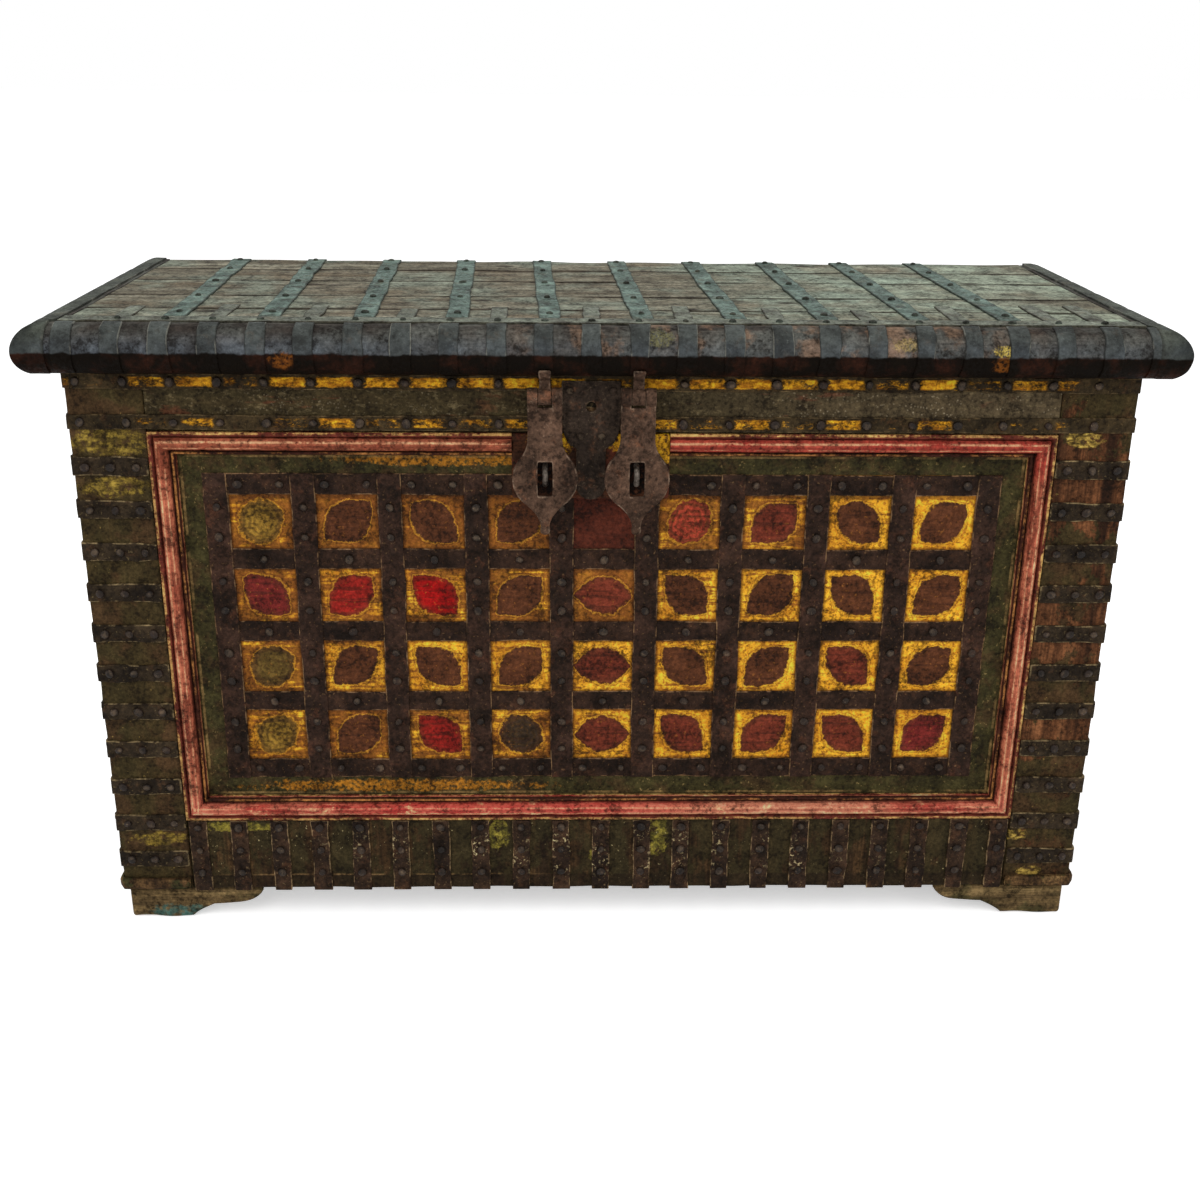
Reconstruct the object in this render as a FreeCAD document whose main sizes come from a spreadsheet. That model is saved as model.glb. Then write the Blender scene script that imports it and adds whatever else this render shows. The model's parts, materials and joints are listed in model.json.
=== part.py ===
import FreeCAD, Part
import os
import re
import Sketcher

# An iron-strapped painted dowry chest, in millimetres.
# X runs along the front, Y from front to back, Z up from the floor.
doc = FreeCAD.newDocument("storage_chest")
sheet = doc.addObject("Spreadsheet::Sheet", "sizes")

# Every driving size: name, value, what it measures.
SIZES = [
    ("body_width", 1300, "carcase across the front, post to post"),
    ("body_depth", 480, "carcase front face to back post face"),
    ("body_height", 716, "carcase without feet or lid"),
    ("foot_height", 48, "floor to underside of carcase"),
    ("foot_inset", 5, "feet stand in from the carcase faces"),
    ("foot_toe", 83, "flat sole of a bracket foot"),
    ("foot_arm", 181, "whole length of a bracket arm"),
    ("foot_board", 30, "thickness of a bracket arm"),
    ("foot_rise", 20, "height of the first curve of the bracket"),
    ("foot_curve", 16, "run of each curve of the bracket"),
    ("post_width", 94, "corner post across the front"),
    ("post_depth", 60, "corner post front to back"),
    ("top_rail_height", 74, "front rail under the lid"),
    ("bottom_rail_height", 108, "front rail over the feet"),
    ("rail_thick", 40, "front rails front to back"),
    ("panel_recess", 14, "panel face behind the rail faces"),
    ("panel_thick", 18, "painted front panel"),
    ("board_thick", 22, "side and back boards"),
    ("board_recess", 4, "side and back boards behind the post faces"),
    ("floor_thick", 18, "floor boards"),
    ("moulding_width", 30, "frame moulding round the panel"),
    ("moulding_proud", 8, "bead of the moulding in front of the rails"),
    ("border_side", 28, "panel border beside the iron grid"),
    ("border_top", 25, "panel border above the iron grid"),
    ("border_bottom", 27, "panel border below the iron grid"),
    ("grid_upright_width", 31, "upright grid straps"),
    ("grid_cross_width", 28, "level grid straps"),
    ("grid_thick", 1.6, "level grid strap iron"),
    ("band_width", 25, "post and rail bands"),
    ("band_thick", 2.5, "post and rail band iron"),
    ("band_gap", 2, "gap between bands and the next face"),
    ("post_band_top", 46, "top post band centre below the frieze strap"),
    ("post_band_bottom", 49, "lowest post band centre above the carcase foot"),
    ("rail_band_drop", 1, "rail bands hang below the rail"),
    ("frieze_strap_width", 20, "frieze straps"),
    ("frieze_strap_thick", 2, "frieze strap iron"),
    ("frieze_margin", 2, "frieze straps in from the rail edges"),
    ("base_bead_height", 17, "bead round the foot of the posts and sides"),
    ("base_bead_proud", 6, "how far that bead stands out"),
    ("lid_overhang_front", 40, "lid past the front, and past each side"),
    ("lid_overhang_back", 30, "lid past the back"),
    ("lid_thickness", 60, "lid edge"),
    ("lid_board_thick", 30, "boards of the lid"),
    ("nose_width", 48, "front and side edge pieces of the lid"),
    ("nose_radius", 31, "round upper half of the lid edge"),
    ("back_rail_width", 95, "back edge piece of the lid"),
    ("batten_width", 70, "lid battens"),
    ("sheet_thick", 2, "iron sheet on the lid edge"),
    ("nose_gap_left", 56, "first lid edge band from the left end"),
    ("nose_gap_right", 36, "last lid edge band from the right end"),
    ("edging_width", 34, "scalloped iron strip behind the lid edge"),
    ("edging_scallop", 4, "depth of its scallops"),
    ("top_strap_width", 28, "straps on the lid top"),
    ("end_strap_flat", 12, "flat part of the iron over the lid ends"),
    ("stud_diameter", 12, "domed nail heads"),
    ("stud_height", 4.5, "domed nail heads"),
    ("lock_block_width", 194, "wood block behind lock plate and staples"),
    ("lock_plate_half", 36, "half width of the lock plate"),
    ("lock_plate_thick", 2.5, "lock plate"),
    ("lock_plate_top", 8, "lock plate below the lid"),
    ("keyhole_radius", 6, "round keyhole"),
    ("tongue_half", 18, "half width of the lock plate's lower tongue"),
    ("hasp_drop", 23, "hasp pin below the lid"),
    ("hasp_standoff", 24, "hasp pin in front of the rails"),
    ("hasp_thick", 5, "hasp plate"),
    ("hasp_neck_half", 21, "half width of the hasp's neck"),
    ("hasp_disc_radius", 40, "round of the hasp"),
    ("hasp_disc_drop", 102, "disc centre below the hasp pin"),
    ("hasp_neck_drop", 52, "straight part of the neck below the hasp pin"),
    ("hasp_flare_half", 31, "half width where the neck's flare meets the disc"),
    ("hasp_tail_root", 24, "half width of the tail where it leaves the disc"),
    ("hasp_tail_length", 22, "tail from disc edge to ball"),
    ("hasp_tail_half", 5, "half width of the tail at its ball"),
    ("hasp_ball_radius", 6, "ball at the hasp's tip"),
    ("slot_half_width", 9, "half width of the hasp's slot"),
    ("slot_half_height", 21.5, "half height of the hasp's slot"),
    ("eye_radius", 11, "rolled eyes round the hasp pin"),
    ("hasp_pin_radius", 4, "hasp pin"),
    ("hanger_width", 16, "strap that carries a hasp"),
    ("hanger_thick", 4, "iron of that strap"),
    ("hanger_start", 3, "hanger's top end in from the lid's front"),
    ("side_play", 0.5, "sideways play of moving eyes"),
    ("pin_play", 0.08, "running clearance round a pin"),
    ("staple_wire_radius", 3.5, "staple iron"),
    ("staple_half", 11, "half spacing of the staple's legs"),
    ("staple_play", 1, "staple nose behind the hanging hasp"),
    ("staple_bury", 12, "staple legs in the block"),
    ("hinge_length", 90, "each hinge along the back"),
    ("hinge_inset", 270, "hinge middle from the lid end"),
    ("hinge_radius", 6, "hinge barrel"),
    ("hinge_pin_radius", 3, "hinge pin"),
    ("hinge_leaf", 57, "leaf reach from the pin"),
    ("hinge_leaf_thick", 3, "leaf on the back boards"),
    ("hinge_knuckle", 30, "middle knuckle"),
    ("hinge_clear", 0.4, "clearance round the hinge barrel"),
]
for row, (alias, size, note) in enumerate(SIZES, start=1):
    sheet.set("A%d" % row, note)
    sheet.set("B%d" % row, str(size))
    sheet.setAlias("B%d" % row, alias)
doc.recompute()

NAMES = re.compile(r"\b(" + "|".join(alias for alias, size, note in SIZES) + r")\b")
COLUMNS = 9
ROWS = 4
POST_BANDS = 11
RAIL_BANDS = 21
NOSE_BANDS = 24
TOP_STRAPS = 10
FIRST_STRAP_BAND = 2
STRAP_STEP = 2
LEFT_HASP_BAND = 10
LOCK_BAND = 11
RIGHT_HASP_BAND = 12


def cells(text):
    """An expression with the sheet's name put before each of its aliases."""
    return NAMES.sub(r"sizes.\1", str(text))


def value(text):
    """The number an expression in the sheet's names stands for."""
    return float(sheet.evalExpression(cells(text)))


# Planes and lines that many pieces share, as expressions in the sheet's names.
half = "(body_width / 2)"
front = "((lid_overhang_front - lid_overhang_back - body_depth) / 2)"
back = "(%s + body_depth)" % front
rim = "(foot_height + body_height)"
lid_top = "(%s + lid_thickness)" % rim
lid_front = "(%s - lid_overhang_front)" % front
lid_back = "(%s + lid_overhang_back)" % back
lid_half = "(body_width / 2 + lid_overhang_front)"
post_in = "(body_width / 2 - post_width)"
open_low = "(foot_height + bottom_rail_height)"
open_high = "(%s - top_rail_height)" % rim
panel_face = "(%s + panel_recess)" % front
grid_half = "(%s - moulding_width - border_side)" % post_in
grid_low = "(%s + moulding_width + border_bottom)" % open_low
grid_high = "(%s - moulding_width - border_top)" % open_high
column_pitch = "((2 * %s - grid_upright_width) / %d)" % (grid_half, COLUMNS)
row_pitch = "((%s - %s - grid_cross_width) / %d)" % (grid_high, grid_low, ROWS)
nose_pitch = "((2 * %s - nose_gap_left - nose_gap_right) / %d)" % (lid_half, NOSE_BANDS - 1)
nose_first = "(nose_gap_left - %s)" % lid_half
nose_under = "(lid_thickness - nose_radius)"
lock_x = "(%s + %d * %s)" % (nose_first, LOCK_BAND, nose_pitch)
hasp_z = "(%s - hasp_drop)" % rim
hasp_y = "(%s - hasp_standoff)" % front
post_band_low = "(foot_height + post_band_bottom)"
post_band_high = "(%s + frieze_margin - post_band_top)" % open_high
post_band_pitch = "((%s - %s) / %d)" % (post_band_high, post_band_low, POST_BANDS - 1)
rail_band_edge = "(%s - band_gap - band_width / 2)" % post_in
rail_band_pitch = "(2 * %s / %d)" % (rail_band_edge, RAIL_BANDS - 1)
top_strap_pitch = "(%d * %s)" % (STRAP_STEP, nose_pitch)
top_strap_first = "(%s + %d * %s)" % (nose_first, FIRST_STRAP_BAND, nose_pitch)
hinge_y = "(%s - board_recess + hinge_radius)" % back
hinge_z = "(%s + hinge_leaf_thick - hinge_radius)" % rim


def signed(sign, text):
    """The expression, or its negative for the mirrored side."""
    return text if sign > 0 else "-(%s)" % text


def place(piece, x, y, z):
    """Binds a piece's position to three expressions."""
    piece.setExpression("Placement.Base.x", cells(x))
    piece.setExpression("Placement.Base.y", cells(y))
    piece.setExpression("Placement.Base.z", cells(z))
    return piece


def box(name, x, y, z, length, width, height):
    """A square-edged board: lowest corner and sizes are expressions."""
    piece = doc.addObject("Part::Box", name)
    piece.Label = name
    piece.setExpression("Length", cells(length))
    piece.setExpression("Width", cells(width))
    piece.setExpression("Height", cells(height))
    return place(piece, x, y, z)


def group(name, pieces):
    """Several separate solids of one kind kept as one named sub-part."""
    piece = doc.addObject("Part::Compound", name)
    piece.Label = name
    piece.Links = pieces
    return piece


def new_body(name):
    piece = doc.addObject("PartDesign::Body", name)
    piece.Label = name
    piece.AllowCompound = True
    return piece


def origin_part(piece, role):
    return [item for item in piece.Origin.OriginFeatures if item.Role == role][0]


def pin_point(sketch, index, place_on, point, name):
    """Holds one corner of a sketch at its two expressions."""
    for kind, text, tag in (("DistanceX", point[0], "x"), ("DistanceY", point[1], "y")):
        rule = Sketcher.Constraint(kind, -1, 1, index, place_on, value(text))
        number = sketch.addConstraint(rule)
        sketch.renameConstraint(number, "%s_%s" % (name, tag))
        sketch.setExpression("Constraints.%s_%s" % (name, tag), cells(text))


def draw(piece, plane, loops):
    """A sketch of closed loops. A corner is (x, y); one that an arc leads to adds a
    point on the arc, (x, y, through_x, through_y); a circle is ("circle", x, y, radius)."""
    sketch = piece.newObject("Sketcher::SketchObject", piece.Label + "_sketch")
    sketch.AttachmentSupport = [(origin_part(piece, plane), "")]
    sketch.MapMode = "FlatFace"
    for loop_number, loop in enumerate(loops):
        name = "loop%d" % loop_number
        if loop[0] == "circle":
            centre = FreeCAD.Vector(value(loop[1]), value(loop[2]), 0)
            ring = Part.Circle(centre, FreeCAD.Vector(0, 0, 1), value(loop[3]))
            index = sketch.addGeometry(ring, False)
            number = sketch.addConstraint(Sketcher.Constraint("Radius", index, value(loop[3])))
            sketch.renameConstraint(number, name + "_radius")
            sketch.setExpression("Constraints.%s_radius" % name, cells(loop[3]))
            pin_point(sketch, index, 3, (loop[1], loop[2]), name + "_centre")
            continue
        spots = [FreeCAD.Vector(value(corner[0]), value(corner[1]), 0) for corner in loop]
        ends = []
        for step, corner in enumerate(loop):
            begin = spots[step - 1]
            finish = spots[step]
            if len(corner) == 2:
                index = sketch.addGeometry(Part.LineSegment(begin, finish), False)
                ends.append((index, 1, 2))
                continue
            through = FreeCAD.Vector(value(corner[2]), value(corner[3]), 0)
            index = sketch.addGeometry(Part.Arc(begin, through, finish), False)
            turn = (through - begin).cross(finish - through).z
            ends.append((index, 1, 2) if turn > 0 else (index, 2, 1))
        for step in range(len(ends)):
            this, after = ends[step], ends[(step + 1) % len(ends)]
            sketch.addConstraint(Sketcher.Constraint("Coincident", this[0], this[2], after[0], after[1]))
            pin_point(sketch, this[0], this[2], loop[step], "%s_corner%d" % (name, step))
    return sketch


def pad(piece, plane, loops, length, both=False, reverse=False):
    """Material from a sketch: one way, or shared to both sides of its plane."""
    feature = piece.newObject("PartDesign::Pad", piece.Label + "_pad")
    feature.Profile = draw(piece, plane, loops)
    feature.setExpression("Length", cells(length))
    feature.Midplane = both
    feature.Reversed = reverse
    return feature


def pocket(piece, plane, loops):
    """A cut from a sketch right through the piece, both ways."""
    feature = piece.newObject("PartDesign::Pocket", piece.Label + "_pocket")
    feature.Profile = draw(piece, plane, loops)
    feature.Type = "ThroughAll"
    feature.Midplane = True
    return feature


def row_of(piece, original, axis, pitch, count):
    """The piece's feature repeated along an axis, as separate solids."""
    feature = piece.newObject("PartDesign::LinearPattern", piece.Label + "_row")
    feature.Originals = [original]
    feature.Direction = (origin_part(piece, axis), [""])
    feature.setExpression("Length", cells("%s * %d" % (pitch, count - 1)))
    feature.Occurrences = count
    piece.Tip = feature
    return feature


# One domed nail head stands for all; each set of studs is copies of it on its straps.
dome_radius = "(((stud_diameter / 2) ^ 2 + stud_height ^ 2) / (2 * stud_height))"
stud = doc.addObject("Part::Sphere", "stud_pattern")
stud.setExpression("Radius", cells(dome_radius))
stud.setExpression("Angle1", cells("asin(1 - stud_height / %s)" % dome_radius))
stud.Angle2 = 90
doc.recompute()
DIRECTIONS = {
    "front": FreeCAD.Rotation(FreeCAD.Vector(1, 0, 0), 90),
    "back": FreeCAD.Rotation(FreeCAD.Vector(1, 0, 0), -90),
    "right": FreeCAD.Rotation(FreeCAD.Vector(0, 1, 0), 90),
    "left": FreeCAD.Rotation(FreeCAD.Vector(0, 1, 0), -90),
    "up": FreeCAD.Rotation(),
}


def studs(name, places):
    """Nail heads that sit on iron: each place is (direction, x, y, z) in millimetres."""
    seat = stud.Shape.copy()
    seat.translate(FreeCAD.Vector(0, 0, value("stud_height - %s" % dome_radius)))
    heads = []
    for direction, x, y, z in places:
        head = seat.copy()
        head.Placement = FreeCAD.Placement(FreeCAD.Vector(x, y, z), DIRECTIONS[direction]) * head.Placement
        heads.append(head)
    piece = doc.addObject("Part::Feature", name)
    piece.Label = name
    piece.Shape = Part.makeCompound(heads)
    return piece


nodes = []

# Corner posts: the four uprights of the carcase.
posts = []
for label, x in (("left", "-%s" % half), ("right", post_in)):
    posts.append(box("front_%s_post" % label, x, front, "foot_height",
                     "post_width", "post_depth", "body_height"))
    posts.append(box("back_%s_post" % label, x, "%s - post_depth" % back, "foot_height",
                     "post_width", "post_depth", "body_height"))
nodes.extend(posts)

# Front rails between the posts, and the painted panel set back between them.
nodes.append(box("front_top_rail", "-%s" % post_in, front, open_high,
                 "2 * %s" % post_in, "rail_thick", "top_rail_height"))
nodes.append(box("front_bottom_rail", "-%s" % post_in, front, "foot_height",
                 "2 * %s" % post_in, "rail_thick", "bottom_rail_height"))
nodes.append(box("front_panel", "-%s" % post_in, panel_face, open_low,
                 "2 * %s" % post_in, "panel_thick", "%s - %s" % (open_high, open_low)))

# Side, back and floor boards, laid edge to edge between the posts; the floor is cut round the posts.
WALL_BOARDS = 5
FLOOR_BOARDS = 4
wall_board = "(body_height / %d)" % WALL_BOARDS
side_length = "(body_depth - 2 * post_depth)"
for label, x in (("left", "board_recess - %s" % half), ("right", "%s - board_recess - board_thick" % half)):
    boards = []
    for step in range(WALL_BOARDS):
        boards.append(box("%s_side_board_%d" % (label, step + 1), x, "%s + post_depth" % front,
                          "foot_height + %d * %s" % (step, wall_board),
                          "board_thick", side_length, wall_board))
    nodes.append(group("%s_side_boards" % label, boards))
boards = []
for step in range(WALL_BOARDS):
    boards.append(box("back_board_%d" % (step + 1), "-%s" % post_in,
                      "%s - board_recess - board_thick" % back,
                      "foot_height + %d * %s" % (step, wall_board),
                      "2 * %s" % post_in, "board_thick", wall_board))
nodes.append(group("back_boards", boards))
boards = []
floor_front = "(%s + rail_thick)" % front
floor_depth = "(body_depth - rail_thick - board_recess - board_thick)"
floor_half = "(%s - board_recess - board_thick)" % half
for step in range(FLOOR_BOARDS):
    boards.append(box("floor_board_%d" % (step + 1), "-%s" % floor_half,
                      "%s + %d * %s / %d" % (floor_front, step, floor_depth, FLOOR_BOARDS),
                      "foot_height", "2 * %s" % floor_half,
                      "%s / %d" % (floor_depth, FLOOR_BOARDS), "floor_thick"))
floor = doc.addObject("Part::Cut", "floor_boards")
floor.Label = "floor_boards"
floor.Base = group("floor_stock", boards)
floor.Tool = group("post_places", posts)
nodes.append(floor)


def foot(name, side, end):
    """A bracket foot: two curved arms that meet at the corner of the carcase."""
    piece = new_body(name)

    def bracket(sign):
        high = "foot_height"
        bend = "foot_curve * cos(45)"
        return [
            ("0", "0"),
            (signed(sign, "foot_toe"), "0"),
            (signed(sign, "foot_toe + foot_curve"), "foot_rise",
             signed(sign, "foot_toe + foot_curve - %s" % bend), "foot_rise * cos(45)"),
            (signed(sign, "foot_arm - foot_curve"), "foot_rise"),
            (signed(sign, "foot_arm"), high,
             signed(sign, "foot_arm - foot_curve + %s" % bend),
             "%s - (%s - foot_rise) * cos(45)" % (high, high)),
            ("0", high),
        ]

    pad(piece, "XZ_Plane", [bracket(-side)], "foot_board", reverse=end < 0)
    pad(piece, "YZ_Plane", [bracket(-end)], "foot_board", reverse=side > 0)
    outer_y = "%s + foot_inset" % front if end < 0 else "%s - foot_inset" % back
    place(piece, signed(side, "(%s - foot_inset)" % half), outer_y, "0")
    return piece


# Bracket feet under the four corners.
for end_name, end in (("front", -1), ("back", 1)):
    for side_name, side in (("left", -1), ("right", 1)):
        nodes.append(foot("%s_%s_foot" % (end_name, side_name), side, end))


# The moulding's section as shares of its width and height; two corners are led to by arcs.
SECTION_SHARES = (
    ((0, 0),),
    ((0, 0.77),),
    ((0.16, 0.77),),
    ((0.23, 0.6),),
    ((0.77, 0.6), (0.5, 1)),
    ((0.8, 0.42),),
    ((1, 0.36), (0.91, 0.52)),
    ((1, 0),),
)


def moulding(name, x, z, run, sign, length, mitre_start, mitre_end):
    """A length of frame moulding: a fillet, a round bead and a small inner bead."""
    piece = new_body(name)
    section = []
    for corner in SECTION_SHARES:
        spot = ()
        for across_share, out_share in corner:
            across = signed(sign, "moulding_width * %s" % across_share)
            out = "-((panel_recess + moulding_proud) * %s)" % out_share
            spot = spot + ((across, out) if run == "z" else (out, across))
        section.append(spot)
    pad(piece, "XY_Plane" if run == "z" else "YZ_Plane", [section], length)
    wide = signed(sign, "moulding_width")
    if mitre_start:
        corner = [("0", "0"), ("0", wide), ("moulding_width", wide)]
        pocket(piece, "XZ_Plane", [[(b, a) for a, b in corner] if run == "z" else corner])
    if mitre_end:
        corner = [(length, "0"), (length, wide), ("%s - moulding_width" % length, wide)]
        pocket(piece, "XZ_Plane", [[(b, a) for a, b in corner] if run == "z" else corner])
    place(piece, x, panel_face, z)
    return piece


# Moulding frame round the panel; the top run is broken by the lock block.
block_left = "(%s - lock_block_width / 2)" % lock_x
block_right = "(%s + lock_block_width / 2)" % lock_x
open_wide = "(2 * %s)" % post_in
open_tall = "(%s - %s)" % (open_high, open_low)
nodes.append(moulding("moulding_top_left", "-%s" % post_in, open_high, "x", -1,
                      "(%s + %s)" % (block_left, post_in), True, False))
nodes.append(moulding("moulding_top_right", block_right, open_high, "x", -1,
                      "(%s - %s)" % (post_in, block_right), False, True))
nodes.append(moulding("moulding_bottom", "-%s" % post_in, open_low, "x", 1, open_wide, True, True))
nodes.append(moulding("moulding_left", "-%s" % post_in, open_low, "z", 1, open_tall, True, True))
nodes.append(moulding("moulding_right", post_in, open_low, "z", -1, open_tall, True, True))

# Bead round the foot of each side, returned across the front post.
for label, side in (("left", -1), ("right", 1)):
    piece = new_body("%s_base_bead" % label)
    reach = signed(side, "-(post_width - band_gap)")
    proud = signed(side, "base_bead_proud")
    pad(piece, "XY_Plane", [[
        (reach, "-base_bead_proud"),
        (proud, "-base_bead_proud"),
        (proud, "body_depth"),
        ("0", "body_depth"),
        ("0", "0"),
        (reach, "0"),
    ]], "base_bead_height")
    nodes.append(place(piece, signed(side, half), front, "foot_height + band_gap"))

# Iron grid on the panel: level straps lie on the wood, uprights are let over them.
block_low = "(%s - grid_cross_width)" % grid_high
levels = []
for step in range(ROWS):
    levels.append(box("grid_level_%d" % (step + 1), "-%s" % grid_half, "%s - grid_thick" % panel_face,
                      "%s + %d * %s" % (grid_low, step, row_pitch),
                      "2 * %s" % grid_half, "grid_thick", "grid_cross_width"))
levels.append(box("grid_level_top_left", "-%s" % grid_half, "%s - grid_thick" % panel_face, block_low,
                  "%s + %s" % (block_left, grid_half), "grid_thick", "grid_cross_width"))
levels.append(box("grid_level_top_right", block_right, "%s - grid_thick" % panel_face, block_low,
                  "%s - %s" % (grid_half, block_right), "grid_thick", "grid_cross_width"))
level_straps = group("grid_level_straps", levels)
nodes.append(level_straps)
uprights = []
for step in range(COLUMNS + 1):
    x = "(%d * %s - %s)" % (step, column_pitch, grid_half)
    under_block = value(x) < value(block_right) and value("%s + grid_upright_width" % x) > value(block_left)
    top = block_low if under_block else grid_high
    uprights.append(box("grid_upright_%d" % (step + 1), x, "%s - 2 * grid_thick" % panel_face, grid_low,
                        "grid_upright_width", "2 * grid_thick", "%s - %s" % (top, grid_low)))
upright_straps = doc.addObject("Part::Cut", "grid_upright_straps")
upright_straps.Label = "grid_upright_straps"
upright_straps.Base = group("grid_upright_stock", uprights)
upright_straps.Tool = level_straps
nodes.append(upright_straps)

# Nail heads of the grid: two to a cell on the uprights, one on each inner level
# strap, two on the straps along the top and bottom.
face = value("%s - 2 * grid_thick" % panel_face)
level_face = value("%s - grid_thick" % panel_face)
pitch_x = value(column_pitch)
pitch_z = value(row_pitch)
edge_x = value("grid_upright_width / 2 - %s" % grid_half)
edge_z = value("%s + grid_cross_width / 2" % grid_low)
upright_stud_shares = (0.3, 0.7)
pair_share = 0.24
middle_share = 0.5
places = []
for column in range(COLUMNS + 1):
    for line in range(ROWS):
        for share in upright_stud_shares:
            places.append(("front", edge_x + pitch_x * column, face, edge_z + pitch_z * (line + share)))
for column in range(COLUMNS):
    middle = edge_x + pitch_x * (column + middle_share)
    for line in range(ROWS + 1):
        z = edge_z + pitch_z * line
        for share in ((0,) if 0 < line < ROWS else (-pair_share, pair_share)):
            x = middle + pitch_x * share
            beside = abs(x - value(lock_x)) - value("lock_block_width / 2")
            if line == ROWS and beside < value("stud_diameter"):
                continue
            places.append(("front", x, level_face, z))
nodes.append(studs("grid_studs", places))

# Iron bands on the front posts, bent round the corners on to the sides.
for label, side in (("left", -1), ("right", 1)):
    piece = new_body("%s_post_bands" % label)
    reach = signed(side, "-(post_width - band_gap)")
    thick = signed(side, "band_thick")
    band = pad(piece, "XY_Plane", [[
        (reach, "-band_thick"),
        (thick, "-band_thick"),
        (thick, "post_depth"),
        ("0", "post_depth"),
        ("0", "0"),
        (reach, "0"),
    ]], "band_width")
    row_of(piece, band, "Z_Axis", post_band_pitch, POST_BANDS)
    nodes.append(place(piece, signed(side, half), front, "%s - band_width / 2" % post_band_low))

# Upright bands on the bottom rail; they hang a little below its edge.
piece = new_body("bottom_rail_bands")
band = pad(piece, "XZ_Plane", [[
    ("0", "0"),
    ("band_width", "0"),
    ("band_width", "bottom_rail_height + rail_band_drop - band_gap"),
    ("0", "bottom_rail_height + rail_band_drop - band_gap"),
]], "band_thick")
row_of(piece, band, "X_Axis", rail_band_pitch, RAIL_BANDS)
nodes.append(place(piece, "-%s - band_width / 2" % rail_band_edge, front, "foot_height - rail_band_drop"))

# Nail heads on the post bands, front and side, and on the bottom rail bands.
band_face = value("%s - band_thick" % front)
post_front_shares = (0.17, 0.5, 0.83)
post_side_shares = (0.3, 0.75)
rail_stud_shares = (0.26, 0.58, 0.9)
places = []
for line in range(POST_BANDS):
    z = value("%s + %d * %s" % (post_band_low, line, post_band_pitch))
    for side, name in ((-1, "left"), (1, "right")):
        for share in post_front_shares:
            x = side * (value(post_in) + value("post_width") * share)
            places.append(("front", x, band_face, z))
        for share in post_side_shares:
            y = value(front) + value("post_depth") * share
            places.append((name, side * value("%s + band_thick" % half), y, z))
nodes.append(studs("post_studs", places))
places = []
for column in range(RAIL_BANDS):
    x = value("%d * %s - %s" % (column, rail_band_pitch, rail_band_edge))
    for share in rail_stud_shares:
        z = value("foot_height") + value("bottom_rail_height") * share
        places.append(("front", x, band_face, z))
nodes.append(studs("bottom_rail_studs", places))

# Frieze straps: two iron straps round the front and sides under the lid.
frieze_low = "(%s + frieze_margin)" % open_high
frieze_high = "(%s - frieze_margin - frieze_strap_width)" % rim
places = []
frieze_face = value("%s - frieze_strap_thick" % front)
frieze_side = value("%s + frieze_strap_thick" % half)
FRIEZE_SIDE_STUDS = 8
lock_reach = value("lock_plate_half + stud_diameter / 2")
for name, z in (("frieze_lower_strap", frieze_low), ("frieze_upper_strap", frieze_high)):
    piece = new_body(name)
    outer = "(%s + frieze_strap_thick)" % half
    pad(piece, "XY_Plane", [[
        ("-%s" % outer, "-frieze_strap_thick"),
        (outer, "-frieze_strap_thick"),
        (outer, "body_depth"),
        (half, "body_depth"),
        (half, "0"),
        ("-%s" % half, "0"),
        ("-%s" % half, "body_depth"),
        ("-%s" % outer, "body_depth"),
    ]], "frieze_strap_width")
    nodes.append(place(piece, "0", front, z))
    middle = value("%s + frieze_strap_width / 2" % z)
    for step in range(NOSE_BANDS):
        x = value("%s + %d * %s" % (nose_first, step, nose_pitch))
        inside = abs(x) < value("%s - stud_diameter" % half)
        if inside and abs(x - value(lock_x)) > lock_reach:
            places.append(("front", x, frieze_face, middle))
    for step in range(FRIEZE_SIDE_STUDS):
        y = value(front) + value("body_depth") * (step + middle_share) / FRIEZE_SIDE_STUDS
        places.append(("left", -frieze_side, y, middle))
        places.append(("right", frieze_side, y, middle))
nodes.append(studs("frieze_studs", places))

# Lock block let into the moulding, with holes for the staples' legs.
hasp_places = []
for label, band_number in (("left", LEFT_HASP_BAND), ("right", RIGHT_HASP_BAND)):
    hasp_places.append((label, "(%s + %d * %s)" % (nose_first, band_number, nose_pitch)))
slot_z = "(%s - hasp_disc_drop)" % hasp_z
block_face = "(%s - frieze_strap_thick)" % front
piece = new_body("lock_block")
pad(piece, "XZ_Plane", [[
    (block_left, block_low),
    (block_right, block_low),
    (block_right, open_high),
    (block_left, open_high),
]], "panel_recess + frieze_strap_thick")
holes = []
for label, x in hasp_places:
    for sign in (-1, 1):
        holes.append(("circle", x, "%s + %d * staple_half" % (slot_z, sign), "staple_wire_radius"))
pocket(piece, "XZ_Plane", holes)
nodes.append(place(piece, "0", panel_face, "0"))

# Lock plate: square shoulders, a rounded lower lobe and a tongue with a round end.
plate_high = "(%s - lock_plate_top)" % rim
plate_low = "(%s + tongue_half)" % block_low
shoulder = "(%s + frieze_strap_width)" % frieze_low
waist = "(%s - tongue_half)" % open_high
lobe_out_share = 0.85
lobe_up_share = 0.42
lobe_x = "(tongue_half + (lock_plate_half - tongue_half) * %s)" % lobe_out_share
lobe_z = "(%s + (%s - %s) * %s)" % (waist, shoulder, waist, lobe_up_share)
piece = new_body("lock_plate")
pad(piece, "XZ_Plane", [
    [
        ("lock_plate_half", plate_high),
        ("-lock_plate_half", plate_high),
        ("-lock_plate_half", shoulder),
        ("-tongue_half", waist, "-%s" % lobe_x, lobe_z),
        ("-tongue_half", plate_low),
        ("tongue_half", plate_low, "0", "%s - tongue_half" % plate_low),
        ("tongue_half", waist),
        ("lock_plate_half", shoulder, lobe_x, lobe_z),
    ],
    ["circle", "0", "(%s + %s) / 2" % (frieze_low, plate_high), "keyhole_radius"],
], "lock_plate_thick")
nodes.append(place(piece, lock_x, block_face, "0"))
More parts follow.
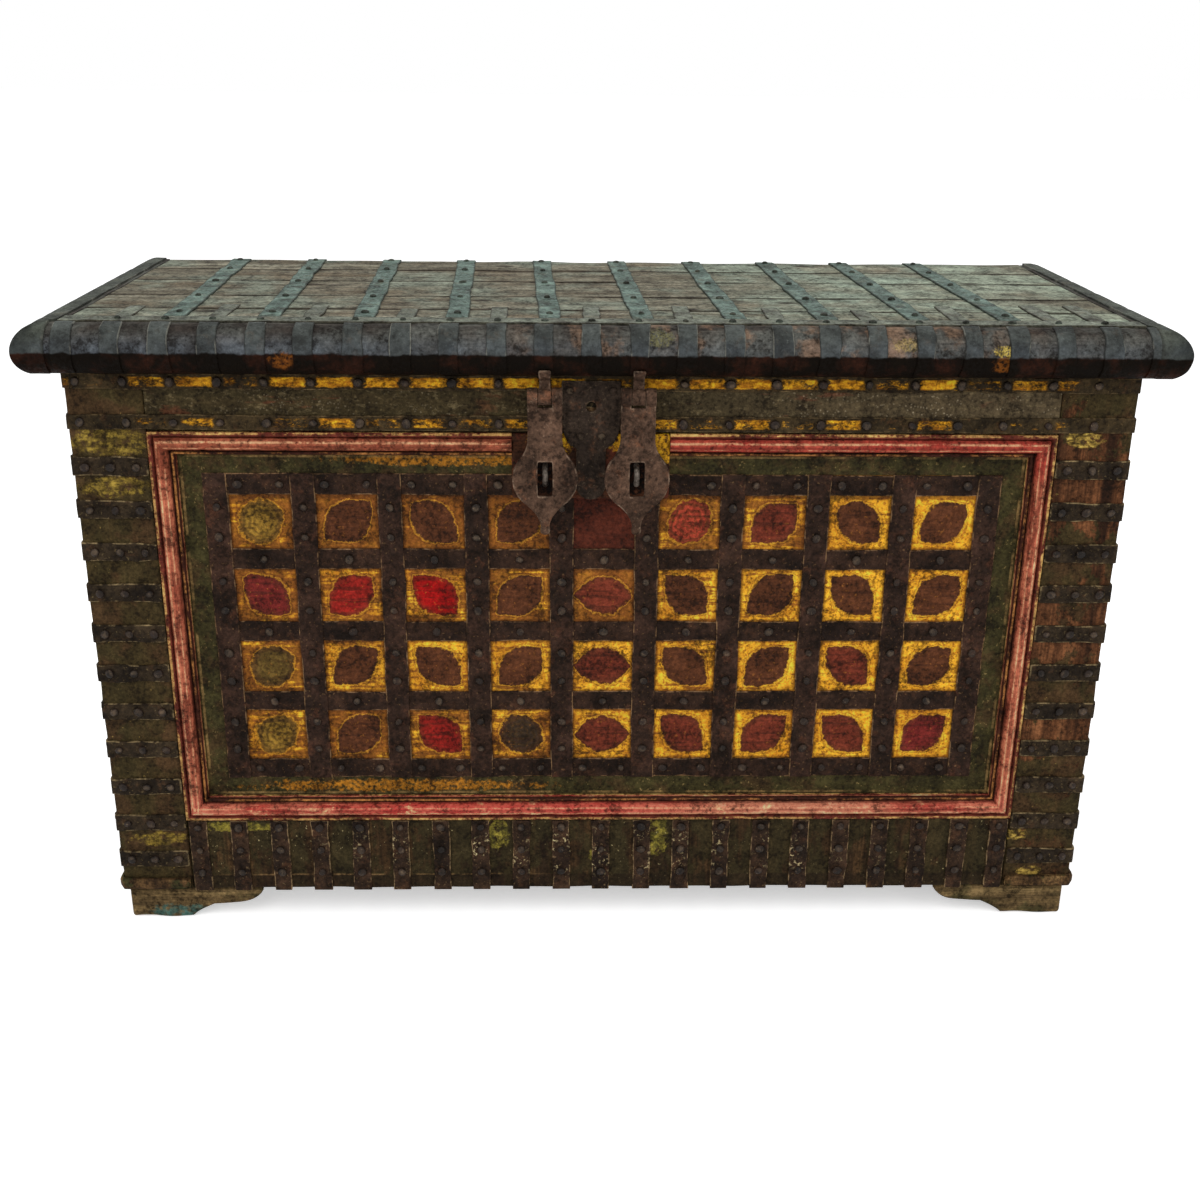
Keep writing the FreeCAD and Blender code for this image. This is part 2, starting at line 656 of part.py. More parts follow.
plate_face = value("%s - lock_plate_thick" % block_face)
middle = value(lock_x)
rivet_share = 0.36
places = []
for share in (-rivet_share, rivet_share):
    x = middle + value("lock_plate_half") * share
    places.append(("front", x, plate_face, value("%s - stud_height" % frieze_low)))
    x = middle + value("lock_plate_half") * 2 * share
    places.append(("front", x, plate_face, value("%s - stud_diameter" % plate_high)))
nodes.append(studs("lock_plate_rivets", places))

# Staples: bent iron with both legs in the lock block, one behind each hasp's slot.
staple_nose = "(hasp_standoff - hasp_thick / 2 - staple_play)"
for label, x in hasp_places:
    bend_out = "(%s - staple_half - staple_wire_radius)" % staple_nose
    bow = doc.addObject("Part::Torus", "%s_staple_bow" % label)
    bow.setExpression("Radius1", cells("staple_half"))
    bow.setExpression("Radius2", cells("staple_wire_radius"))
    bow.Angle3 = 180
    bow.Placement.Rotation = FreeCAD.Rotation(FreeCAD.Vector(0, 0, 1), FreeCAD.Vector(0, -1, 0),
                                              FreeCAD.Vector(1, 0, 0), "ZXY")
    place(bow, x, "%s - %s" % (front, bend_out), slot_z)
    legs = []
    for sign in (-1, 1):
        leg = doc.addObject("Part::Cylinder", "%s_staple_leg" % label)
        leg.setExpression("Radius", cells("staple_wire_radius"))
        leg.setExpression("Height", cells("%s + staple_bury - frieze_strap_thick" % bend_out))
        leg.Placement.Rotation = FreeCAD.Rotation(FreeCAD.Vector(1, 0, 0), -90)
        legs.append(place(leg, x, "%s - %s" % (front, bend_out), "%s + %d * staple_half" % (slot_z, sign)))
    piece = doc.addObject("Part::MultiFuse", "%s_staple" % label)
    piece.Label = "%s_staple" % label
    piece.Shapes = [bow] + legs
    nodes.append(piece)

# Hinges at the back: a leaf on the back boards, a leaf let into the lid, one pin each.
hinge_places = (("left", "hinge_inset - %s" % lid_half), ("right", "%s - hinge_inset" % lid_half))
gap_half = "(hinge_knuckle / 2 + hinge_clear)"
barrel = ["circle", "0", "0", "hinge_radius"]
reach = "(hinge_radius + hinge_clear)"
body_leaves = []
lid_leaves = []
hinge_pins = []
for label, x in hinge_places:
    piece = new_body("%s_hinge_body_leaf" % label)
    pad(piece, "YZ_Plane", [[
        ("-hinge_radius", "-hinge_leaf"),
        ("hinge_leaf_thick - hinge_radius", "-hinge_leaf"),
        ("hinge_leaf_thick - hinge_radius", "0"),
        ("-hinge_radius", "0"),
    ]], "hinge_length", both=True)
    pad(piece, "YZ_Plane", [barrel], "hinge_length", both=True)
    pocket(piece, "XZ_Plane", [[
        ("-%s" % gap_half, "-%s" % reach),
        (gap_half, "-%s" % reach),
        (gap_half, reach),
        ("-%s" % gap_half, reach),
    ]])
    pocket(piece, "YZ_Plane", [["circle", "0", "0", "hinge_pin_radius"]])
    body_leaves.append(place(piece, x, hinge_y, hinge_z))
    piece = new_body("%s_hinge_lid_leaf" % label)
    leaf_low = "(hinge_radius - hinge_leaf_thick)"
    pad(piece, "YZ_Plane", [[
        ("-hinge_leaf", leaf_low),
        ("0", leaf_low),
        ("0", "hinge_radius + hinge_clear"),
        ("-hinge_leaf", "hinge_radius + hinge_clear"),
    ]], "hinge_length", both=True)
    pad(piece, "YZ_Plane", [barrel], "hinge_knuckle", both=True)
    sides = []
    for sign in (-1, 1):
        near = signed(sign, "hinge_knuckle / 2")
        far = signed(sign, "hinge_length")
        sides.append([(near, "-%s" % reach), (far, "-%s" % reach), (far, reach), (near, reach)])
    pocket(piece, "XY_Plane", sides)
    pocket(piece, "YZ_Plane", [["circle", "0", "0", "hinge_pin_radius + pin_play"]])
    lid_leaves.append(place(piece, x, hinge_y, hinge_z))
    pin = doc.addObject("Part::Cylinder", "%s_hinge_pin" % label)
    pin.setExpression("Radius", cells("hinge_pin_radius"))
    pin.setExpression("Height", cells("hinge_length"))
    pin.Placement.Rotation = FreeCAD.Rotation(FreeCAD.Vector(0, 1, 0), 90)
    hinge_pins.append(place(pin, "%s - hinge_length / 2" % x, hinge_y, hinge_z))
nodes.append(group("hinge_body_leaves", body_leaves))
nodes.append(group("hinge_lid_leaves", lid_leaves))
nodes.append(group("hinge_pins", hinge_pins))
places = []
hinge_nail_shares = (-0.36, 0, 0.36)
hinge_drop_share = 0.7
for label, x in hinge_places:
    for share in hinge_nail_shares:
        along = value(x) + value("hinge_length") * share
        up = value("%s - hinge_leaf * %s" % (hinge_z, hinge_drop_share))
        places.append(("back", along, value("%s + hinge_leaf_thick - hinge_radius" % hinge_y), up))
nodes.append(studs("hinge_nails", places))


def over_edge(off, level_share):
    """A point off the upper round of the lid's edge; the share is the cosine of its rise."""
    reach = "(nose_radius + %s)" % off
    return ("nose_radius - %s * %s" % (reach, level_share),
            "%s + %s * sqrt(1 - %s ^ 2)" % (nose_under, reach, level_share))


def under_edge(off, level_share):
    """A point off the lower round of the lid's edge; the share is the cosine of its dip."""
    reach = "(%s + %s)" % (nose_under, off)
    return ("%s - %s * %s" % (nose_under, reach, level_share),
            "%s - %s * sqrt(1 - %s ^ 2)" % (nose_under, reach, level_share))


bend_share = 0.7


def nose(name, plane, length, mitres, side):
    """An edge piece of the lid: flat top and bottom with a full round between them."""
    piece = new_body(name)
    section = [
        ("nose_width", "0"),
        ("nose_width", "lid_thickness"),
        ("nose_radius", "lid_thickness"),
        ("0", nose_under) + over_edge("0", bend_share),
        (nose_under, "0") + under_edge("0", bend_share),
    ]
    if side < 0:
        section = [tuple("-(%s)" % part if spot % 2 == 0 else part for spot, part in enumerate(corner))
                   for corner in section]
    pad(piece, plane, [section], length, reverse=plane == "XZ_Plane")
    pocket(piece, "XY_Plane", mitres)
    return piece


# Lid frame: front edge piece, two side pieces mitred to it, and the back rail.
long = "(2 * %s)" % lid_half
wide = "nose_width"
lid_depth = "(%s - %s)" % (lid_back, lid_front)
piece = nose("lid_front_nose", "YZ_Plane", long, [
    [("0", "0"), ("0", wide), (wide, wide)],
    [(long, "0"), (long, wide), ("%s - %s" % (long, wide), wide)],
], 1)
nodes.append(place(piece, "-%s" % lid_half, lid_front, rim))
piece = nose("lid_left_nose", "XZ_Plane", lid_depth, [[("0", "0"), (wide, "0"), (wide, wide)]], 1)
nodes.append(place(piece, "-%s" % lid_half, lid_front, rim))
piece = nose("lid_right_nose", "XZ_Plane", lid_depth,
             [[("0", "0"), ("-(%s)" % wide, "0"), ("-(%s)" % wide, wide)]], -1)
nodes.append(place(piece, lid_half, lid_front, rim))
inner_half = "(%s - nose_width)" % lid_half
rail_stock = box("lid_back_rail_stock", "-%s" % inner_half, "%s - back_rail_width" % lid_back, rim,
                 "2 * %s" % inner_half, "back_rail_width", "lid_thickness")
mortises = []
for label, x in hinge_places:
    mortises.append(box("%s_hinge_mortise" % label, "%s - hinge_length / 2 - hinge_clear" % x,
                        "%s - hinge_leaf" % hinge_y, rim, "hinge_length + 2 * hinge_clear",
                        "hinge_leaf + hinge_radius + hinge_clear", "hinge_leaf_thick + hinge_clear"))
back_rail = doc.addObject("Part::Cut", "lid_back_rail")
back_rail.Label = "lid_back_rail"
back_rail.Base = rail_stock
back_rail.Tool = group("hinge_mortises", mortises)
nodes.append(back_rail)

# Lid boards of uneven width, with two battens below them inside the frame.
board_depth = "(%s - nose_width - back_rail_width)" % lid_depth
board_shares = (0.206, 0.241, 0.307, 0.246)
done_share = 0
for step, share in enumerate(board_shares):
    nodes.append(box("lid_board_%d" % (step + 1), "-%s" % inner_half,
                     "%s + nose_width + %s * %s" % (lid_front, board_depth, round(done_share, 3)),
                     "%s - lid_board_thick" % lid_top, "2 * %s" % inner_half,
                     "%s * %s" % (board_depth, share), "lid_board_thick"))
    done_share = done_share + share
batten_share = 0.66
battens = []
for label, side in (("left", -1), ("right", 1)):
    middle = signed(side, "(%s * %s)" % (inner_half, batten_share))
    battens.append(box("lid_batten_%s" % label, "%s - batten_width / 2" % middle,
                       "%s + nose_width" % lid_front, rim, "batten_width", board_depth,
                       "lid_thickness - lid_board_thick"))
nodes.append(group("lid_battens", battens))

# Straps over the lid top, turned down over its back edge.
piece = new_body("lid_top_straps")
strap_start = "(nose_radius + edging_width)"
band = pad(piece, "YZ_Plane", [[
    (strap_start, "0"),
    (lid_depth, "0"),
    (lid_depth, "-lid_board_thick"),
    ("%s + sheet_thick" % lid_depth, "-lid_board_thick"),
    ("%s + sheet_thick" % lid_depth, "sheet_thick"),
    (strap_start, "sheet_thick"),
]], "top_strap_width")
row_of(piece, band, "X_Axis", top_strap_pitch, TOP_STRAPS)
nodes.append(place(piece, "%s - top_strap_width / 2" % top_strap_first, lid_front, lid_top))

wrap_share = 0.5
wrap_bend_share = 0.8


def edge_iron(top):
    """Section of sheet iron beaten over the lid's edge and part of the way under it."""
    return top + [
        ("nose_radius", "lid_thickness + sheet_thick"),
        over_edge("sheet_thick", 1) + over_edge("sheet_thick", bend_share),
        under_edge("sheet_thick", wrap_share) + under_edge("sheet_thick", wrap_bend_share),
        under_edge("0", wrap_share),
        ("0", nose_under) + under_edge("0", wrap_bend_share),
        ("nose_radius", "lid_thickness") + over_edge("0", bend_share),
    ]


# Iron over the rounded lid ends.
ends = []
for label, side in (("left", 1), ("right", -1)):
    piece = new_body("lid_end_strap_%s" % label)
    shell = edge_iron([
        ("nose_radius + end_strap_flat", "lid_thickness"),
        ("nose_radius + end_strap_flat", "lid_thickness + sheet_thick"),
    ])
    if side < 0:
        shell = [tuple("-(%s)" % part if spot % 2 == 0 else part for spot, part in enumerate(corner))
                 for corner in shell]
    pad(piece, "XZ_Plane", [shell], "%s - nose_width" % lid_depth, reverse=True)
    ends.append(place(piece, signed(-side, lid_half), "%s + nose_width" % lid_front, rim))
nodes.append(group("lid_end_straps", ends))

# Iron bands round the lid's front edge, from the flat top to its underside.
piece = new_body("lid_nose_bands")
band = pad(piece, "YZ_Plane", [edge_iron([])], "band_width")
row_of(piece, band, "X_Axis", nose_pitch, NOSE_BANDS)
nodes.append(place(piece, "%s - band_width / 2" % nose_first, lid_front, rim))

# Scalloped strip behind the bands, drawn with one shallow arc to each bay.
strip_half = value("%s - nose_radius - end_strap_flat - band_gap" % lid_half)
strip_front = value("%s + nose_radius" % lid_front)
strip_back = value("%s + nose_radius + edging_width" % lid_front)
strip_high = value(lid_top)
points = [-strip_half]
for step in range(NOSE_BANDS):
    x = value("%s + %d * %s" % (nose_first, step, nose_pitch))
    if abs(x) < strip_half - value("band_width") / 2:
        points.append(x)
points.append(strip_half)
edges = []
for begin, finish in zip(points[:-1], points[1:]):
    middle = FreeCAD.Vector((begin + finish) / 2, strip_front + value("edging_scallop"), strip_high)
    edges.append(Part.Arc(FreeCAD.Vector(begin, strip_front, strip_high), middle,
                          FreeCAD.Vector(finish, strip_front, strip_high)).toShape())
corners = [(strip_half, strip_front), (strip_half, strip_back),
           (-strip_half, strip_back), (-strip_half, strip_front)]
for begin, finish in zip(corners[:-1], corners[1:]):
    edges.append(Part.LineSegment(FreeCAD.Vector(begin[0], begin[1], strip_high),
                                  FreeCAD.Vector(finish[0], finish[1], strip_high)).toShape())
edging = doc.addObject("Part::Feature", "lid_front_edging")
edging.Label = "lid_front_edging"
edging.Shape = Part.Face(Part.Wire(edges)).extrude(FreeCAD.Vector(0, 0, value("sheet_thick")))
nodes.append(edging)

# Nail heads on the lid straps and along the scalloped strip.
iron_top = value("%s + sheet_thick" % lid_top)
strap_back = value(lid_back)
strap_stud_shares = (0.06, 0.3, 0.55, 0.78, 0.96)
edging_stud_share = 0.45
places = []
for step in range(TOP_STRAPS):
    x = value("%s + %d * %s" % (top_strap_first, step, top_strap_pitch))
    for share in strap_stud_shares:
        places.append(("up", x, strip_back + (strap_back - strip_back) * share, iron_top))
for x in points[1:-1]:
    places.append(("up", x, strip_front + value("edging_width") * edging_stud_share, iron_top))
nodes.append(studs("lid_studs", places))

# Hasps with the straps and pins that carry them under the lid's front edge.
axis_in = "(lid_overhang_front - hasp_standoff)"
axis_up = "(-hasp_drop)"
neck_share = 0.5
bow_share = 0.33
middle_drop = "((%s + %s) / 2)"
inner_face = "sheet_thick"
outer_face = "(sheet_thick + hanger_thick)"
bar_front = "(%s - hasp_thick / 2)" % axis_in
bar_back = "(%s + hasp_thick / 2)" % axis_in
eye_gap = "(hanger_width / 2 + side_play)"
start_share = "((%s - hanger_start) / (%s + %s))" % (nose_under, nose_under, inner_face)
inner_share = "((%s - %s) / (%s + %s))" % (nose_under, bar_back, nose_under, inner_face)
outer_share = "((%s - %s) / (%s + %s))" % (nose_under, bar_front, nose_under, outer_face)
inner_middle = "((%s + %s) / 2)" % (start_share, inner_share)
outer_middle = "((%s + %s) / 2)" % (start_share, outer_share)
hangers = []
pins = []
hasps = []
for label, x in hasp_places:
    piece = new_body("hasp_hanger_%s" % label)
    pad(piece, "YZ_Plane", [[
        under_edge(inner_face, start_share),
        under_edge(inner_face, inner_share) + under_edge(inner_face, inner_middle),
        (bar_back, axis_up),
        (bar_front, axis_up),
        under_edge(outer_face, outer_share),
        under_edge(outer_face, start_share) + under_edge(outer_face, outer_middle),
    ]], "hanger_width", both=True)
    pad(piece, "YZ_Plane", [["circle", axis_in, axis_up, "eye_radius"]], "hanger_width", both=True)
    pocket(piece, "YZ_Plane", [["circle", axis_in, axis_up, "hasp_pin_radius"]])
    hangers.append(place(piece, x, lid_front, rim))
    pin = doc.addObject("Part::Cylinder", "hasp_pin_%s" % label)
    pin.setExpression("Radius", cells("hasp_pin_radius"))
    pin.setExpression("Height", cells("2 * hasp_neck_half"))
    pin.Placement.Rotation = FreeCAD.Rotation(FreeCAD.Vector(0, 1, 0), 90)
    pins.append(place(pin, "%s - hasp_neck_half" % x, hasp_y, hasp_z))
    piece = new_body("%s_hasp" % label)
    root_drop = "(hasp_disc_drop + sqrt(hasp_disc_radius ^ 2 - hasp_tail_root ^ 2))"
    flare_drop = "(hasp_disc_drop - sqrt(hasp_disc_radius ^ 2 - hasp_flare_half ^ 2))"
    tip_drop = "(hasp_disc_drop + hasp_disc_radius + hasp_tail_length)"
    ball_drop = "(%s + sqrt(hasp_ball_radius ^ 2 - hasp_tail_half ^ 2) + hasp_ball_radius)" % tip_drop
    flare_bow = "(hasp_neck_half + (hasp_flare_half - hasp_neck_half) * %s)" % bow_share
    flare_mid = middle_drop % ("hasp_neck_drop", flare_drop)
    tail_bow = "(hasp_tail_half + (hasp_tail_root - hasp_tail_half) * %s)" % bow_share
    tail_mid = middle_drop % (root_drop, tip_drop)
    pad(piece, "XZ_Plane", [
        [
            ("-hasp_neck_half", "-eye_radius * %s" % neck_share),
            ("-hasp_neck_half", "-hasp_neck_drop"),
            ("-hasp_flare_half", "-%s" % flare_drop, "-%s" % flare_bow, "-%s" % flare_mid),
            ("-hasp_tail_root", "-%s" % root_drop, "-hasp_disc_radius", "-hasp_disc_drop"),
            ("-hasp_tail_half", "-%s" % tip_drop, "-%s" % tail_bow, "-%s" % tail_mid),
            ("hasp_tail_half", "-%s" % tip_drop, "0", "-%s" % ball_drop),
            ("hasp_tail_root", "-%s" % root_drop, tail_bow, "-%s" % tail_mid),
            ("hasp_flare_half", "-%s" % flare_drop, "hasp_disc_radius", "-hasp_disc_drop"),
            ("hasp_neck_half", "-hasp_neck_drop", flare_bow, "-%s" % flare_mid),
            ("hasp_neck_half", "-eye_radius * %s" % neck_share),
        ],
        [
            ("-slot_half_width", "-slot_half_height - hasp_disc_drop"),
            ("slot_half_width", "-slot_half_height - hasp_disc_drop"),
            ("slot_half_width", "slot_half_height - hasp_disc_drop"),
            ("-slot_half_width", "slot_half_height - hasp_disc_drop"),
        ],
    ], "hasp_thick", both=True)
    pad(piece, "YZ_Plane", [["circle", "0", "0", "eye_radius"]], "2 * hasp_neck_half", both=True)
    pocket(piece, "XZ_Plane", [[
        ("-%s" % eye_gap, "-(eye_radius + 2 * side_play)"),
        (eye_gap, "-(eye_radius + 2 * side_play)"),
        (eye_gap, "eye_radius + 2 * side_play"),
        ("-%s" % eye_gap, "eye_radius + 2 * side_play"),
    ]])
    pocket(piece, "YZ_Plane", [["circle", "0", "0", "hasp_pin_radius + pin_play"]])
    hasps.append(place(piece, x, hasp_y, hasp_z))
nodes.append(group("hasp_hangers", hangers))
nodes.append(group("hasp_pins", pins))
nodes.extend(hasps)

# Rebuild, look for anything broken, then write one file for each sub-part.
doc.recompute()
for item in doc.Objects:
    for state in item.State:
        if state in ("Invalid", "Error"):
            raise RuntimeError("%s is %s" % (item.Label, state))
for item in nodes:
    if item.Shape.isNull() or not item.Shape.isValid():
        raise RuntimeError("%s has no sound shape" % item.Label)
os.makedirs("parts", exist_ok=True)
for item in nodes:
    item.Shape.exportStep("parts/%s.step" % item.Label)
print(len(nodes), "sub-parts written")
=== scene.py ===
import json
import math
import bpy
import numpy as np
from mathutils import Matrix, Vector


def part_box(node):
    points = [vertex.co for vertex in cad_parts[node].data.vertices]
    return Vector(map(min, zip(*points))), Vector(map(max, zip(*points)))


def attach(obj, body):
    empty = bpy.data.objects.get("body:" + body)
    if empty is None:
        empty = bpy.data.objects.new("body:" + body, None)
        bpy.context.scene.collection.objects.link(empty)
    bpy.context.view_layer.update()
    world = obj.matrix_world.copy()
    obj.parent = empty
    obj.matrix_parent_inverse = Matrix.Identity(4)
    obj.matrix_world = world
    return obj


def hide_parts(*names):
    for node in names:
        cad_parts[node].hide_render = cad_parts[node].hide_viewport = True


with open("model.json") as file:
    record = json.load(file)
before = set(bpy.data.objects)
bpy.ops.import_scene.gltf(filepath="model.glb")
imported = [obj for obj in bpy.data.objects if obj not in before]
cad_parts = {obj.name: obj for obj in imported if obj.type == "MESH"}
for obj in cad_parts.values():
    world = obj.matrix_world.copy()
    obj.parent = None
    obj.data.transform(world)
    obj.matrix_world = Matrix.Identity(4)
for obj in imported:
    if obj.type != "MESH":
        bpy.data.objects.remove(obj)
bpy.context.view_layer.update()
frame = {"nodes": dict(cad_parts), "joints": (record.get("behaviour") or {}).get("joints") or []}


# Bracket feet: each is two short boards of the same hardwood, mitred at the corner and sawn to a
# curve below. They carry the carcase, worn round at the edges and bare of most of their paint.
def corners_of(node):
    """The lowest and highest corner of a node, as arrays."""
    low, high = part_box(node)
    return np.array(low), np.array(high)


WAVES = 8


def ripple(points, length, seed):
    """The unevenness of handwork: the sum of eight plane waves of about one length, each with its
    own way and phase, scaled to about -1 to 1."""
    draw = np.random.default_rng(seed)
    ways = draw.normal(size=(WAVES, 3))
    lengths = np.linalg.norm(ways, axis=1, keepdims=True)
    ways *= 2 * np.pi / length * draw.uniform(0.6, 1.5, (WAVES, 1)) / lengths
    return np.sin(points @ ways.T + draw.uniform(0, 2 * np.pi, WAVES)).sum(-1) * 2 / WAVES


def stations(length, step, round_end):
    """Places along a length: even steps, closer together over the rounded part at both ends."""
    ends = round_end * np.array([0, 0.1, 0.35, 0.7, 1])
    inner = np.linspace(round_end, length - round_end, max(2, int(length / step)))[1:-1]
    return np.concatenate([ends, inner, length - ends[::-1]])


def straight(start, way, length, step, round_end):
    """Points along a straight line from a start, spaced as stations are."""
    return np.asarray(start, float) + stations(length, step, round_end)[:, None] * np.asarray(way, float)


INNER_LINE = 1.6
CORNER_TURNS = 4


def bar(path, across, out, half, high, low, worn, flats=5, turns=CORNER_TURNS, dents=0.0, dent_length=0.1,
        seed=0, closed=False):
    """A bar: a rectangle with rounded corners carried along a path. The section reaches half to both
    sides along across, and from low to high along out; half, high and low may change along the path.
    worn is the radius of its corners, with a line of points a little inside each; dents sink its
    faces by a ripple, and the ends are rounded too, unless the path is closed on itself. It gives the
    points, one ring of the section for each point of the path, how near each is to an edge, and closed."""
    path = np.asarray(path, float)
    count = len(path)
    across = np.broadcast_to(across, path.shape)[:, None]
    out = np.broadcast_to(out, path.shape)[:, None]
    half, high, low = (np.broadcast_to(size, count).astype(float) for size in (half, high, low))
    bend = np.linspace(0, np.pi / 2, turns)
    shares = np.linspace(-1, 1, flats + 2)[1:-1] if np.isscalar(flats) else np.asarray(flats, float)
    middle = np.concatenate([[-1], shares, [1]])
    reach = np.concatenate([-np.ones(turns), middle, np.ones(turns)])
    curl = np.concatenate([-np.cos(bend), [INNER_LINE], 0 * shares, [-INNER_LINE], np.cos(bend[::-1])])
    sink = np.concatenate([1 - np.sin(bend), 0 * middle, 1 - np.sin(bend[::-1])])
    edge = np.concatenate([np.ones(turns), 0 * middle, np.ones(turns)])
    shrink = np.zeros(count)
    if not closed:
        gone = np.concatenate([[0], np.cumsum(np.linalg.norm(np.diff(path, axis=0), axis=1))])
        near = 1 - np.minimum(np.minimum(gone, gone[-1] - gone) / worn, 1)
        shrink = worn * (1 - np.sqrt(1 - near ** 2))
        edge = np.maximum(edge, near[:, None])
    edge = np.broadcast_to(edge, (count, len(reach)))
    spread = (half - shrink - worn)[:, None] * reach + worn * curl
    top = (high - shrink)[:, None] - worn * sink
    base = (low + shrink)[:, None] + worn * sink
    spread = np.concatenate([spread, spread[:, ::-1]], 1)
    level = np.concatenate([top, base[:, ::-1]], 1)
    points = path[:, None] + spread[..., None] * across + level[..., None] * out
    if dents:
        sunk = dents * np.clip(0.5 + 0.5 * ripple(points, dent_length, seed), 0, 1)
        upper = np.concatenate([np.ones(top.shape), -np.ones(base.shape)], 1)
        side = np.sign(spread) * (np.abs(spread) > (half - 2 * worn)[:, None])
        points = points - (sunk * upper)[..., None] * out - (sunk * side)[..., None] * across
    return points, np.concatenate([edge, edge[:, ::-1]], 1), closed


def skin(blocks):
    """Vertices, faces and edge marks of blocks of points. Quads join each ring of points to the next;
    a block that isn't closed on itself gets a strip of quads over each end. A block whose volume
    comes out negative is turned the right way round."""
    verts, faces, marks, base = [], [], [], 0
    for points, mark, closed in blocks:
        rows, ring = points.shape[:2]
        index = np.arange(rows * ring).reshape(rows, ring)
        after = np.roll(index, -1, axis=1)
        below, below_after = np.roll(index, -1, axis=0), np.roll(after, -1, axis=0)
        quads = np.stack([index, after, below_after, below], -1)
        quads = (quads if closed else quads[:-1]).reshape(-1, 4)
        if not closed:
            step = np.arange(ring // 2 - 1)
            lid = np.stack([step + 1, step, ring - 1 - step, ring - 2 - step], -1)
            quads = np.concatenate([quads, index[0][lid], index[-1][lid[:, ::-1]]])
        flat = points.reshape(-1, 3)
        a, b, c, d = (flat[quads[:, corner]] for corner in range(4))
        volume = (a * np.cross(b, c)).sum() + (a * np.cross(c, d)).sum()
        faces.append(base + (quads if volume > 0 else quads[:, ::-1]))
        verts.append(flat)
        marks.append(np.broadcast_to(mark, (rows, ring)).reshape(-1))
        base += rows * ring
    return np.concatenate(verts), np.concatenate(faces).tolist(), np.concatenate(marks)


def set_mark(mesh, name, values, domain="POINT"):
    """Gives a mesh a named number for each point or face, which its material reads."""
    mesh.attributes.new(name, "FLOAT", domain).data.foreach_set("value", np.asarray(values, np.float32))


def add_piece(name, body, slot, nodes, material, verts, faces, marks, sharp=40):
    """Puts a surface into the scene as one piece that rides on a body and stands for its nodes."""
    mesh = bpy.data.meshes.new(name)
    mesh.from_pydata(verts.tolist(), [], faces)
    set_mark(mesh, "edge", marks)
    mesh.polygons.foreach_set("use_smooth", np.ones(len(mesh.polygons), bool))
    mesh.set_sharp_from_angle(angle=math.radians(sharp))
    mesh.materials.append(material)
    piece = bpy.data.objects.new(name, mesh)
    bpy.context.scene.collection.objects.link(piece)
    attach(piece, body)
    if nodes:
        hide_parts(*nodes)
    return piece


def paint(red, green, blue):
    """A colour as the eye reads it, 0 to 255, made linear for the shader."""
    share = np.array([red, green, blue]) / 255
    linear = np.where(share <= 0.04045, share / 12.92, ((share + 0.055) / 1.055) ** 2.4)
    return (*linear.tolist(), 1.0)


